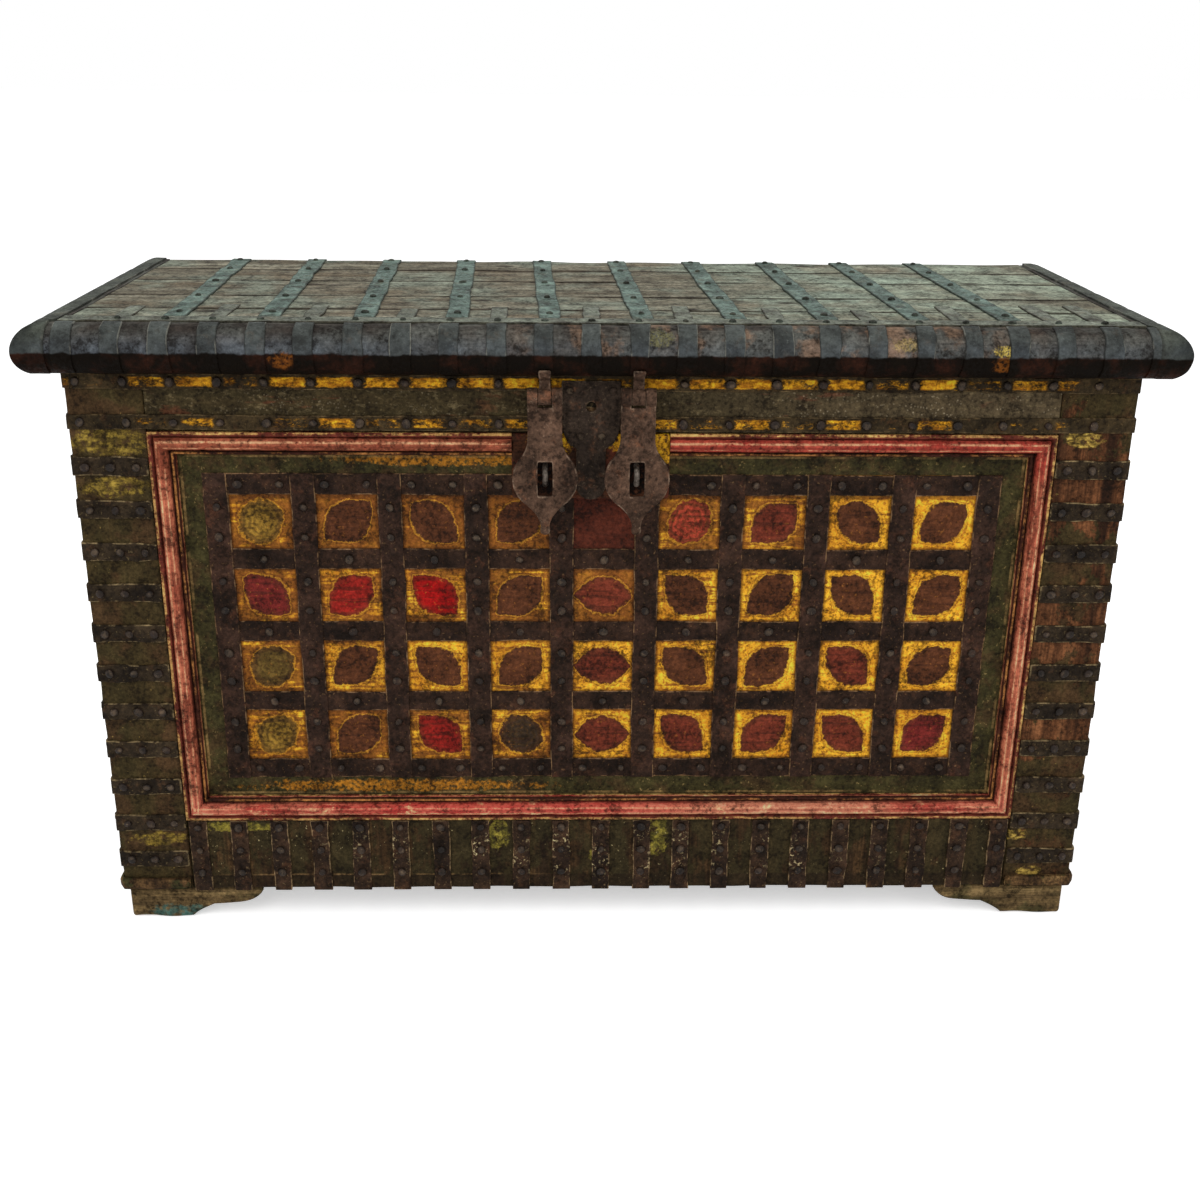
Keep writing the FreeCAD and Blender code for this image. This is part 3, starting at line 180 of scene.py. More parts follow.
class Finish:
    """A material written as expressions: each call adds a node and hands back its output."""

    def __init__(self, name):
        self.material = bpy.data.materials.new(name)
        self.material.use_nodes = True
        self.tree = self.material.node_tree
        self.shader = self.tree.nodes["Principled BSDF"]
        self.place = self.node("ShaderNodeTexCoord").outputs["Object"]

    def put(self, socket, value):
        """Links an output to a socket, or sets the socket to a value."""
        if isinstance(value, bpy.types.NodeSocket):
            self.tree.links.new(value, socket)
        else:
            socket.default_value = value

    def node(self, kind, inputs=None, **settings):
        """Adds a node with its settings and inputs."""
        made = self.tree.nodes.new(kind)
        for key, value in settings.items():
            setattr(made, key, value)
        for key, value in (inputs or {}).items():
            self.put(made.inputs[key], value)
        return made

    def stretched(self, scale, shift=(0, 0, 0)):
        """The place times a scale, and then shifted."""
        return self.node("ShaderNodeMapping",
                         {"Vector": self.place, "Scale": scale, "Location": shift}).outputs[0]

    def noise(self, scale, where=None, detail=4.0, rough=0.6):
        """Cloudy noise, about 0 to 1."""
        return self.node("ShaderNodeTexNoise", {"Vector": where or self.place, "Scale": scale,
                                                "Detail": detail, "Roughness": rough}).outputs[0]

    def cells(self, scale, where):
        """How far it is to the nearest of scattered points."""
        return self.node("ShaderNodeTexVoronoi", {"Vector": where, "Scale": scale}).outputs["Distance"]

    def step(self, value, low, high):
        """Nought at low and one at high, smooth between."""
        return self.node("ShaderNodeMapRange", {"Value": value, "From Min": low, "From Max": high},
                         interpolation_type="SMOOTHSTEP").outputs[0]

    def sum(self, kind, first, second=0.0):
        """One sum of one or two numbers."""
        return self.node("ShaderNodeMath", {0: first, 1: second}, operation=kind).outputs[0]

    def vector(self, kind, inputs, output="Vector"):
        """One sum of vectors."""
        return self.node("ShaderNodeVectorMath", inputs, operation=kind).outputs[output]

    def times(self, *values):
        """The product of the values."""
        result = values[0]
        for value in values[1:]:
            result = self.sum("MULTIPLY", result, value)
        return result

    def mix(self, share, first, second):
        """From the first colour to the second by a share."""
        return self.node("ShaderNodeMix", {0: share, 6: first, 7: second}, data_type="RGBA").outputs[2]

    def over(self, colour, share, strength, coat):
        """A coat laid over a colour, as far as the share times the strength."""
        return self.mix(self.times(share, strength), colour, coat)

    def blots(self, low, high, scale, where=None, detail=4.0, rough=0.6):
        """Noise cut into blots: nought where it is under low, one where it is over high."""
        return self.step(self.noise(scale, where, detail, rough), low, high)

    def axes(self, where=None):
        """The three coordinates of a place."""
        return self.node("ShaderNodeSeparateXYZ", {0: where or self.place}).outputs

    def mark(self, name, output="Fac"):
        """A number or colour that the mesh carries."""
        return self.node("ShaderNodeAttribute", attribute_name=name).outputs[output]

    def band(self, value, low, high, soft):
        """One between low and high, nought outside, over a soft rim."""
        return self.times(self.step(value, low - soft, low + soft),
                          self.step(value, high + soft, high - soft))

    def patch(self, centre, reach, ragged=0.4, scale=75.0):
        """A worn spot: noise cut off at a level that rises from the centre of an oval outwards."""
        scale_in = [1 / size for size in reach]
        shift = [-place * size for place, size in zip(centre, scale_in)]
        length = self.vector("LENGTH", {0: self.stretched(scale_in, shift)}, "Value")
        near = self.times(self.sum("SUBTRACT", 1.0, length), ragged)
        torn = self.sum("ADD", near, self.noise(scale, detail=8.0, rough=0.78))
        return self.times(self.step(torn, 0.5, 0.62), self.blots(0.34, 0.56, scale * 2.6, detail=3.0))

    def shade(self, colour, rough, bumps, metal=0.0, gloss=0.06, grime=0.75):
        """Colour, roughness and a chain of bumps, each a height and how deep it is in metres. Grime lies
        in the hollows of a coarse and a fine noise, and their ridges are rubbed lighter."""
        if grime:
            dirt = self.sum("ADD", self.times(self.noise(34.0, detail=8.0, rough=0.72), 0.55),
                            self.times(self.noise(200.0, detail=4.0, rough=0.7), 0.45))
            rubbed = self.vector("SCALE", {0: colour, "Scale": 1.9})
            rubbed = self.vector("MINIMUM", {0: rubbed, 1: (0.62, 0.62, 0.62)})
            colour = self.over(colour, self.step(dirt, 0.5, 0.6), grime, rubbed)
            colour = self.over(colour, self.step(dirt, 0.51, 0.4), grime, paint(13, 8, 5))
            bumps = bumps + [(dirt, 0.003)]
        normal = None
        for height, depth in bumps:
            bump = self.node("ShaderNodeBump", {"Height": height, "Distance": depth, "Strength": 1.0})
            if normal:
                self.put(bump.inputs["Normal"], normal)
            normal = bump.outputs[0]
        self.put(self.shader.inputs["Base Color"], colour)
        self.put(self.shader.inputs["Roughness"], rough)
        self.put(self.shader.inputs["Normal"], normal)
        self.shader.inputs["Metallic"].default_value = metal
        self.shader.inputs["Specular IOR Level"].default_value = gloss
        return self.material


GRAIN = {"x": (2.2, 42, 42), "y": (42, 2.2, 42), "z": (42, 42, 2.2)}
FIBRE = {"x": (9, 330, 330), "y": (330, 9, 330), "z": (330, 330, 9)}


def old_wood(name, along, dark, mid, pale):
    """Aged hardwood: wide streaks and fine fibres drawn out along the grain, pale where it is dry and
    dark in the pores, with stains. It gives the finish, its colour and its height."""
    finish = Finish(name)
    streak = finish.noise(1.0, finish.stretched(GRAIN[along]), 6.0, 0.62)
    fibre = finish.noise(1.0, finish.stretched(FIBRE[along]), 3.0, 0.5)
    stain = finish.noise(7.0, detail=5.0)
    colour = finish.mix(finish.step(streak, 0.34, 0.6), dark, mid)
    colour = finish.over(colour, finish.step(streak, 0.52, 0.74), 0.8, pale)
    colour = finish.over(colour, finish.step(fibre, 0.56, 0.36), 0.55, dark)
    colour = finish.over(colour, finish.step(stain, 0.52, 0.7), 0.55, dark)
    height = finish.sum("ADD", finish.times(streak, 0.7), finish.times(fibre, 0.3))
    return finish, colour, height


FOOT_TOE = 0.083
FOOT_BOARD = 0.030
FOOT_RISE = 0.020
FOOT_WORN = 0.0035
FOOT_TIP = 0.009


def foot_arm(start, way, across, length, height, seed):
    """One arm of a bracket foot: a board whose lower edge is flat at the toe, rises in a slow curve,
    and sweeps up to a thin tip at its end."""
    along = stations(length, 0.005, FOOT_WORN)
    climb = np.clip((along - FOOT_TOE) / (length - FOOT_TOE), 0, 1)
    lower = FOOT_RISE * np.clip(climb * 3.2, 0, 1) ** 0.8 + (height - FOOT_RISE - FOOT_TIP) * climb ** 7
    path = start + along[:, None] * way
    return bar(path, across, (0, 0, 1), FOOT_BOARD / 2, height, lower, FOOT_WORN, 6, dents=0.0016,
               dent_length=0.06, seed=seed)


wood, colour, height = old_wood("foot_wood", "x", paint(50, 39, 25), paint(106, 86, 56), paint(150, 126, 84))
colour = wood.over(colour, wood.blots(0.5, 0.62, 16.0), 0.6, paint(60, 58, 34))
teal = wood.patch((-0.57, -0.232, 0.006), (0.06, 0.05, 0.016), 0.5, 30.0)
colour = wood.over(colour, teal, 0.75, wood.mix(wood.noise(60.0), paint(36, 66, 66), paint(58, 112, 104)))
foot_finish = wood.shade(colour, 0.8, [(height, 0.0012), (wood.noise(90.0), 0.0006)])
for number, (end, depth_sign) in enumerate((("front", 1), ("back", -1))):
    for label, side in (("left", 1), ("right", -1)):
        node = "%s_%s_foot" % (end, label)
        low, high = corners_of(node)
        outer = np.array([low[0] if side > 0 else high[0], low[1] if depth_sign > 0 else high[1], 0])
        along_x, along_y = np.array([side, 0, 0.0]), np.array([0, depth_sign, 0.0])
        arms = [
            foot_arm(outer + along_y * FOOT_BOARD / 2, along_x, (0, 1, 0), high[0] - low[0], high[2],
                     11 + number),
            foot_arm(outer + along_x * FOOT_BOARD / 2 + along_y * FOOT_BOARD, along_y, (1, 0, 0),
                     high[1] - low[1] - FOOT_BOARD, high[2], 15 + number),
        ]
        add_piece(node.replace("foot", "bracket_foot"), "carcase", "foot_wood", [node], foot_finish,
                  *skin(arms))


# Corner posts: four squared hardwood uprights that the rails and boards are tenoned into. The front
# two keep dark olive paint between their iron bands, worn to brown wood on the right hand one.
POST_WORN = 0.003


def upright(node, seed):
    """A post: a rounded rectangle carried straight up, its faces a little sunken by wear."""
    low, high = corners_of(node)
    middle = (low + high) / 2
    path = straight((middle[0], middle[1], low[2]), (0, 0, 1), high[2] - low[2], 0.012, POST_WORN)
    return bar(path, (1, 0, 0), (0, -1, 0), (high[0] - low[0]) / 2, (high[1] - low[1]) / 2,
               (low[1] - high[1]) / 2, POST_WORN, 8, dents=0.0011, dent_length=0.09, seed=seed)


def post_wood(name, patches, coat_colour=paint(146, 122, 50)):
    """Brown upright wood under flaking dark olive paint, which stays where the mark kept is high, and
    mottled spots where an older yellow coat shows."""
    wood, colour, height = old_wood(name, "z", paint(40, 24, 15), paint(98, 61, 37), paint(124, 82, 52))
    flake = wood.noise(26.0, wood.stretched((1, 1, 0.7)), 7.0, 0.72)
    coat = wood.mix(wood.noise(55.0, detail=5.0), paint(33, 28, 16), paint(64, 55, 31))
    coat = wood.over(coat, wood.blots(0.47, 0.6, 20.0, detail=6.0), 0.7, paint(62, 44, 28))
    left = wood.step(wood.sum("ADD", flake, wood.times(wood.mark("kept"), 0.4)), 0.64, 0.7)
    colour = wood.over(colour, left, 0.92, coat)
    old_coat = wood.mix(wood.blots(0.4, 0.64, 90.0, wood.stretched((0.5, 1, 1.4)), 6.0, 0.75),
                        paint(72, 58, 24), coat_colour)
    for centre, reach in patches:
        colour = wood.over(colour, wood.patch(centre, reach, 0.5, 48.0), 0.85, old_coat)
    specks = wood.blots(0.7, 0.74, 170.0, detail=2.0)
    colour = wood.over(colour, specks, 0.45, paint(150, 124, 66))
    return wood.shade(colour, 0.74, [(height, 0.0012), (left, 0.0004), (wood.noise(140.0), 0.0004)])


front_y = corners_of("front_left_post")[0][1]
left_finish = post_wood("left_post_paint", [((-0.6, front_y, 0.678), (0.055, 0.04, 0.02)),
                                            ((-0.6, front_y, 0.622), (0.05, 0.04, 0.015)),
                                            ((-0.592, front_y, 0.127), (0.04, 0.04, 0.012))])
right_finish = post_wood("right_post_paint", [((0.59, front_y, 0.684), (0.026, 0.04, 0.012)),
                                              ((0.592, front_y, 0.072), (0.02, 0.04, 0.009)),
                                              ((0.555, front_y, 0.129), (0.034, 0.04, 0.009))],
                         paint(212, 176, 84))
back_finish = post_wood("back_post_paint", [])
KEPT_LEFT = [0.95, 0.95, 0.95]
KEPT_RIGHT = [0.8, 0.6, 0.75, 0.7, 0.1, 0.75, 0.1, 0.45, 0.75, 0.15, 0.1, 0.6, 0.8]
KEPT_BACK = [0.5, 0.6, 0.4]
for number, (node, finish, kept) in enumerate((
        ("front_left_post", left_finish, KEPT_LEFT), ("front_right_post", right_finish, KEPT_RIGHT),
        ("back_left_post", back_finish, KEPT_BACK), ("back_right_post", back_finish, KEPT_BACK))):
    verts, faces, marks = skin([upright(node, 31 + number)])
    piece = add_piece(node.replace("post", "corner_post"), "carcase", "post_wood", [node], finish, verts,
                      faces, marks)
    share = (verts[:, 2] - verts[:, 2].min()) / np.ptp(verts[:, 2])
    set_mark(piece.data, "kept", np.interp(share, np.linspace(0, 1, len(kept)), kept))


# Front rails: the frieze rail under the lid and the deep rail over the feet, both tenoned into the
# posts. The frieze is dark olive with rows of tiny punched dots, the lower one brown with old yellow.
RAIL_WORN = 0.0025


def level_board(low, high, worn, flats, dents, seed, step=0.014):
    """A board that lies along X: a rounded rectangle carried from one end to the other."""
    middle = (low + high) / 2
    path = straight((low[0], middle[1], middle[2]), (1, 0, 0), high[0] - low[0], step, worn)
    return bar(path, (0, 0, 1), (0, -1, 0), (high[2] - low[2]) / 2, (high[1] - low[1]) / 2,
               (low[1] - high[1]) / 2, worn, flats, dents=dents, dent_length=0.09, seed=seed)


frieze, colour, height = old_wood("frieze_paint", "x", paint(34, 24, 16), paint(68, 47, 30),
                                  paint(96, 68, 44))
x = frieze.axes()[0]
rubbed = frieze.step(x, -0.15, 0.5)
coat = frieze.mix(frieze.noise(45.0, detail=5.0), paint(36, 30, 18), paint(60, 52, 32))
coat = frieze.over(coat, rubbed, 0.55, paint(84, 72, 54))
kept = frieze.blots(0.36, 0.44, 15.0, frieze.stretched((0.6, 1, 1)), 7.0, 0.7)
colour = frieze.over(colour, kept, 0.9, coat)
dots = frieze.cells(1.0, frieze.stretched((1 / 0.005, 0, 1 / 0.005)))
dot_rows = frieze.blots(0.42, 0.56, 9.0, frieze.stretched((1, 1, 6)))
dots = frieze.times(frieze.step(dots, 0.34, 0.12), dot_rows)
colour = frieze.over(colour, dots, frieze.sum("ADD", 0.25, frieze.times(rubbed, 0.4)), paint(146, 132, 106))
scratch = frieze.noise(150.0, frieze.stretched((0.5, 1, 1)), 4.0, 0.7)
colour = frieze.over(colour, frieze.step(scratch, 0.56, 0.64), 0.32, paint(112, 98, 70))
reddish = frieze.blots(0.6, 0.66, 26.0, frieze.stretched((0.35, 1, 1.6)))
colour = frieze.over(colour, reddish, 0.4, paint(98, 50, 34))
lock_low, lock_high = corners_of("lock_plate")
# Painted shade: near black where the lock plate's keyhole shows the rail, as the dark of a deep hole.
keyhole_shade = frieze.patch(((lock_low[0] + lock_high[0]) / 2, front_y, lock_high[2] - 0.018),
                       (0.016, 0.03, 0.016), 2.0)
colour = frieze.mix(keyhole_shade, colour, paint(10, 7, 5))
frieze_finish = frieze.shade(colour, 0.72, [(height, 0.0012), (dots, 0.0008), (scratch, 0.0012)])
add_piece("frieze_rail", "carcase", "rail_wood", ["front_top_rail"], frieze_finish,
          *skin([level_board(*corners_of("front_top_rail"), RAIL_WORN, 6, 0.0011, 41)]))

rail, colour, height = old_wood("bottom_rail_paint", "z", paint(32, 23, 15), paint(64, 46, 28),
                                paint(88, 66, 40))
x, y, z = rail.axes()
coat = rail.mix(rail.noise(40.0, detail=5.0), paint(33, 29, 17), paint(57, 49, 29))
kept = rail.blots(0.42, 0.5, 20.0, rail.stretched((1, 1, 0.5)), 7.0, 0.7)
colour = rail.over(colour, kept, 0.85, coat)
for centre, reach in (((-0.49, front_y, 0.145), (0.06, 0.04, 0.008)),
                      ((-0.14, front_y, 0.136), (0.017, 0.04, 0.032)),
                      ((0.075, front_y, 0.13), (0.017, 0.04, 0.036)),
                      ((-0.005, front_y, 0.1), (0.012, 0.04, 0.012))):
    yellow = rail.mix(rail.blots(0.38, 0.62, 70.0, detail=6.0, rough=0.75), paint(64, 60, 27),
                      paint(146, 132, 52))
    colour = rail.over(colour, rail.patch(centre, reach, 0.6, 60.0), 0.78, yellow)
flecks = rail.times(rail.blots(0.67, 0.71, 230.0, detail=2.0), rail.blots(0.46, 0.6, 12.0))
colour = rail.over(colour, flecks, 0.7, paint(180, 164, 118))
# Darker below a line near the foot, with a patchy painted highlight along that line as on a ledge's top.
colour = rail.over(colour, rail.step(z, 0.071, 0.068), 0.6, paint(34, 24, 16))
ledge_highlight = rail.times(rail.band(z, 0.0688, 0.071, 0.0006), rail.blots(0.42, 0.55, 30.0, detail=5.0),
                   rail.band(x, -0.5, -0.12, 0.08))
colour = rail.over(colour, ledge_highlight, 0.5, paint(138, 108, 70))
rail_finish = rail.shade(colour, 0.74, [(height, 0.0012), (rail.noise(120.0), 0.0005)])
add_piece("bottom_rail", "carcase", "rail_wood", ["front_bottom_rail"], rail_finish,
          *skin([level_board(*corners_of("front_bottom_rail"), RAIL_WORN, 8, 0.0012, 42)]))


# Front panel: thin boards held behind the moulding and painted all over, a dark green border round
# thirty-six ochre squares. Each square holds a pointed leaf, brown or red, turned to meet the next.
PANEL_WORN = 0.001
LINE_INSET = 0.0335
COLUMNS = 9
ROWS = 4
LEAF_HALF = 0.038
LEAF_WIDE = 0.0262
UPRIGHT_WIDTH = 0.031
LEVEL_WIDTH = 0.028
LEAF_TURNS = "\\/\\/-\\/\\/"
LEAF_LEANS = {"\\": -1, "/": 1, "-": 0}
LEAF_TONES = ("obbbpwkbb", "mrRbkbbbb", "dbbbkbbkb", "obrDkkkkm")
TONES = {"o": (126, 96, 36), "b": (76, 43, 25), "p": (86, 46, 30), "w": (152, 58, 40), "k": (98, 42, 28),
         "m": (98, 32, 28), "r": (126, 28, 22), "R": (134, 14, 13), "d": (84, 66, 30), "D": (46, 35, 25)}
ROUND_TONES = "odDw"
PLAIN_TONE = "p"
LEAF_WEAR = ("788897632", "766785412", "754444321", "676643223")

low, high = corners_of("front_panel")
grid_low, grid_high = corners_of("grid_level_straps")
first_x, last_x = grid_low[0] + UPRIGHT_WIDTH / 2, grid_high[0] - UPRIGHT_WIDTH / 2
first_z, last_z = grid_low[2] + LEVEL_WIDTH / 2, grid_high[2] - LEVEL_WIDTH / 2
column_lines = np.linspace(first_x, last_x, COLUMNS + 1)
row_lines = np.linspace(first_z, last_z, ROWS + 1)
column_pitch, row_pitch = column_lines[1] - column_lines[0], row_lines[1] - row_lines[0]
middle = (low + high) / 2
path_x = np.sort(np.concatenate([[low[0], low[0] + PANEL_WORN, high[0] - PANEL_WORN, high[0]], column_lines]))
path = np.stack([path_x, np.full_like(path_x, middle[1]), np.full_like(path_x, middle[2])], -1)
half_height = (high[2] - low[2]) / 2
panel_block = bar(path, (0, 0, 1), (0, -1, 0), half_height, (high[1] - low[1]) / 2, (low[1] - high[1]) / 2,
                  PANEL_WORN, (row_lines - middle[2]) / (half_height - PANEL_WORN))

panel = Finish("panel_paint")
leaf = panel.node("ShaderNodeUVMap", uv_map="leaf").outputs[0]
bent = panel.node("ShaderNodeTexNoise",
                  {"Vector": panel.place, "Scale": 26.0, "Detail": 3.0}).outputs["Color"]
bent = panel.vector("SUBTRACT", {0: bent, 1: (0.5, 0.5, 0.5)})
bent = panel.vector("SCALE", {0: bent, "Scale": 0.36})
leaf = panel.vector("ADD", {0: leaf, 1: bent})
torn = panel.sum("SUBTRACT", panel.noise(130.0, detail=6.0, rough=0.75), 0.5)
leaf_x, leaf_y = panel.axes(leaf)[:2]
lens = panel.sum("SUBTRACT", 1.0, panel.sum("ADD", panel.sum("POWER", panel.sum("ABSOLUTE", leaf_x), 2.0),
                                            panel.sum("ABSOLUTE", leaf_y)))
oval = panel.vector("MULTIPLY", {0: leaf, 1: (1.45, 0.88, 0)})
oval = panel.sum("SUBTRACT", 1.0, panel.vector("LENGTH", {0: oval}, "Value"))
is_round = panel.mark("round")
inside = panel.sum("ADD", panel.times(lens, panel.sum("SUBTRACT", 1.0, is_round)),
                   panel.times(oval, is_round))
inside = panel.sum("ADD", inside, panel.times(torn, 0.6))
streak = panel.noise(1.0, panel.stretched((14, 90, 150)), 5.0, 0.65)
speck = panel.noise(210.0, detail=3.0, rough=0.6)
cloud = panel.noise(24.0, detail=5.0)
x, y, z = panel.axes()
tired = panel.mark("wear")
ochre = panel.mix(panel.step(cloud, 0.4, 0.62), paint(222, 148, 34), paint(242, 174, 46))
ochre = panel.over(ochre, tired, panel.step(cloud, 0.72, 0.4), paint(146, 90, 30))
ochre = panel.over(ochre, panel.step(speck, 0.6, 0.68), 0.6, paint(218, 168, 48))
ochre = panel.over(ochre, panel.step(speck, 0.44, 0.36), 0.8, paint(134, 80, 26))
bald = panel.sum("ADD", panel.times(streak, 0.6), panel.times(panel.noise(55.0, detail=6.0, rough=0.72), 0.4))
bald = panel.sum("SUBTRACT", bald, panel.times(tired, tired, 0.32))
ochre = panel.over(ochre, panel.step(bald, 0.44, 0.36), 0.88,
                   panel.mix(cloud, paint(84, 46, 20), paint(128, 76, 30)))
cell_x = panel.sum("SUBTRACT",
                   panel.sum("FRACT", panel.times(panel.sum("SUBTRACT", x, first_x), 1 / column_pitch)), 0.5)
cell_z = panel.sum("SUBTRACT",
                   panel.sum("FRACT", panel.times(panel.sum("SUBTRACT", z, first_z), 1 / row_pitch)), 0.5)
rim_x, rim_z = (column_pitch - UPRIGHT_WIDTH) / 2, (row_pitch - LEVEL_WIDTH) / 2
near_x = panel.sum("SUBTRACT", panel.times(panel.sum("ABSOLUTE", cell_x), column_pitch), rim_x)
near_z = panel.sum("SUBTRACT", panel.times(panel.sum("ABSOLUTE", cell_z), row_pitch), rim_z)
near_z = panel.sum("ADD", near_z, panel.times(panel.step(z, last_z - 0.03, last_z - 0.018), 0.003))
near = panel.sum("ADD", panel.sum("MAXIMUM", near_x, near_z), panel.times(torn, 0.012))
# Painted shade and dirt: a dark margin round each square next to the straps, wider under the top strap.
ochre = panel.over(ochre, panel.step(near, -0.005, 0.0005), 0.8, paint(78, 44, 18))
tone = panel.mark("tone", "Color")
leaf_colour = panel.mix(panel.step(inside, 0.02, 0.42), panel.mix(0.55, tone, paint(70, 40, 24)), tone)
leaf_colour = panel.over(leaf_colour, panel.step(streak, 0.5, 0.36), 0.6, paint(44, 24, 16))
leaf_colour = panel.over(leaf_colour, panel.step(speck, 0.63, 0.7), 0.4, paint(150, 96, 42))
petals = panel.sum("SINE", panel.times(panel.sum("ARCTAN2", leaf_y, leaf_x), 9.0))
ring = panel.sum("SINE",
                 panel.sum("ADD", panel.sum("ADD", panel.times(oval, 24.0), petals), panel.times(torn, 9.0)))
ring = panel.times(panel.step(ring, 0.0, -0.5), is_round)
leaf_colour = panel.over(leaf_colour, ring, 0.5, paint(60, 42, 20))
colour = panel.mix(panel.step(inside, -0.08, 0.06), ochre, leaf_colour)
outline = panel.times(panel.step(inside, -0.2, -0.15), panel.step(inside, -0.07, -0.1))
worn_line = panel.times(outline, panel.step(speck, 0.4, 0.5))
colour = panel.over(colour, worn_line, 0.6, paint(80, 42, 18))
rim = panel.times(panel.step(inside, -0.08, -0.05), panel.step(inside, 0.03, -0.01))
colour = panel.over(colour, rim, 0.45, paint(200, 142, 44))
colour = panel.mix(panel.mark("plain"), colour, panel.mix(streak, paint(44, 20, 13), paint(84, 38, 25)))
side_edge = panel.step(panel.sum("ABSOLUTE", x), grid_high[0] - 0.002, grid_high[0])
level_edge = panel.sum("MAXIMUM", panel.step(z, grid_low[2] + 0.002, grid_low[2]),
                       panel.step(z, grid_high[2] - 0.002, grid_high[2]))
border = panel.sum("MAXIMUM", side_edge, level_edge)
green = panel.mix(panel.noise(34.0, detail=6.0), paint(33, 30, 16), paint(62, 56, 30))
green = panel.over(green, panel.blots(0.48, 0.6, 22.0, detail=7.0, rough=0.72), 0.6, paint(60, 42, 26))
green = panel.over(green, panel.step(speck, 0.64, 0.69), 0.5, paint(130, 110, 70))
for centre, reach in (((-0.27, middle[1], 0.2), (0.2, 0.05, 0.01)),
                      ((-0.2, middle[1], 0.652), (0.14, 0.05, 0.008))):
    green = panel.over(green, panel.patch(centre, reach), 0.7, paint(168, 108, 28))
edge_x = panel.sum("ABSOLUTE", panel.sum("SUBTRACT", panel.sum("ABSOLUTE", x), high[0] - LINE_INSET))
edge_z = panel.sum("MINIMUM", panel.sum("ABSOLUTE", panel.sum("SUBTRACT", z, low[2] + LINE_INSET)),
                   panel.sum("ABSOLUTE", panel.sum("SUBTRACT", z, high[2] - LINE_INSET)))
line = panel.times(panel.step(panel.sum("MINIMUM", edge_x, edge_z), 0.0022, 0.001),
                   panel.step(cloud, 0.4, 0.55))
green = panel.over(green, line, 0.45, paint(150, 120, 74))
colour = panel.mix(border, colour, green)
panel_finish = panel.shade(colour, panel.step(speck, -0.3, 1.1),
                           [(streak, 0.0008), (speck, 0.0005), (panel.step(inside, -0.04, 0.04), 0.0004)])
piece = add_piece("front_painted_panel", "carcase", "panel_paint", ["front_panel"], panel_finish,
                  *skin([panel_block]))
mesh = piece.data
spots = np.empty(len(mesh.vertices) * 3)
mesh.vertices.foreach_get("co", spots)
owner = np.empty(len(mesh.loops), int)
mesh.loops.foreach_get("vertex_index", owner)
sides = np.empty(len(mesh.polygons), int)
mesh.polygons.foreach_get("loop_total", sides)
face_middle = np.empty(len(mesh.polygons) * 3)
mesh.polygons.foreach_get("center", face_middle)
face_middle = face_middle.reshape(-1, 3)
column = np.clip(np.floor((face_middle[:, 0] - first_x) / column_pitch), 0, COLUMNS - 1).astype(int)
row = np.clip(np.floor((last_z - face_middle[:, 2]) / row_pitch), 0, ROWS - 1).astype(int)
lean = np.array([LEAF_LEANS[mark] for mark in LEAF_TURNS])[column]
turn = lean * np.arctan2(row_pitch, column_pitch)
tone_table = np.array([[paint(*TONES[mark]) for mark in line] for line in LEAF_TONES])
round_table = np.array([[mark in ROUND_TONES for mark in line] for line in LEAF_TONES])
plain_table = np.array([[mark == PLAIN_TONE for mark in line] for line in LEAF_TONES])
wear_table = np.array([[int(mark) for mark in line] for line in LEAF_WEAR], np.float32) / 10
mesh.attributes.new("tone", "FLOAT_COLOR", "FACE").data.foreach_set("color", tone_table[row, column].ravel())
for name, table in (("round", round_table), ("plain", plain_table), ("wear", wear_table)):
    set_mark(mesh, name, table[row, column], "FACE")
offset_x = spots.reshape(-1, 3)[owner, 0] - np.repeat(first_x + column_pitch * (column + 0.5), sides)
offset_z = spots.reshape(-1, 3)[owner, 2] - np.repeat(last_z - row_pitch * (row + 0.5), sides)
turn = np.repeat(turn, sides)
leaf_uv = np.stack([(offset_x * np.cos(turn) + offset_z * np.sin(turn)) / LEAF_HALF,
                    (offset_z * np.cos(turn) - offset_x * np.sin(turn)) / LEAF_WIDE], -1)
mesh.uv_layers.new(name="leaf").data.foreach_set("uv", leaf_uv.ravel())


# Side, back and floor boards: wide planks laid edge to edge and let into the posts, dark with age
# and with the last of a green coat. Long drying cracks run along the grain of the planks.
WALL_BOARDS = 5
BOARD_WORN = 0.0025
BOARD_DENTS = 0.0012
BOARD_STEP = 0.012
CRACK_DEPTH = 0.0022
CRACK_SHARE = 0.02
CRACK_FADE = 0.06
CRACK_WANDER = 0.0016


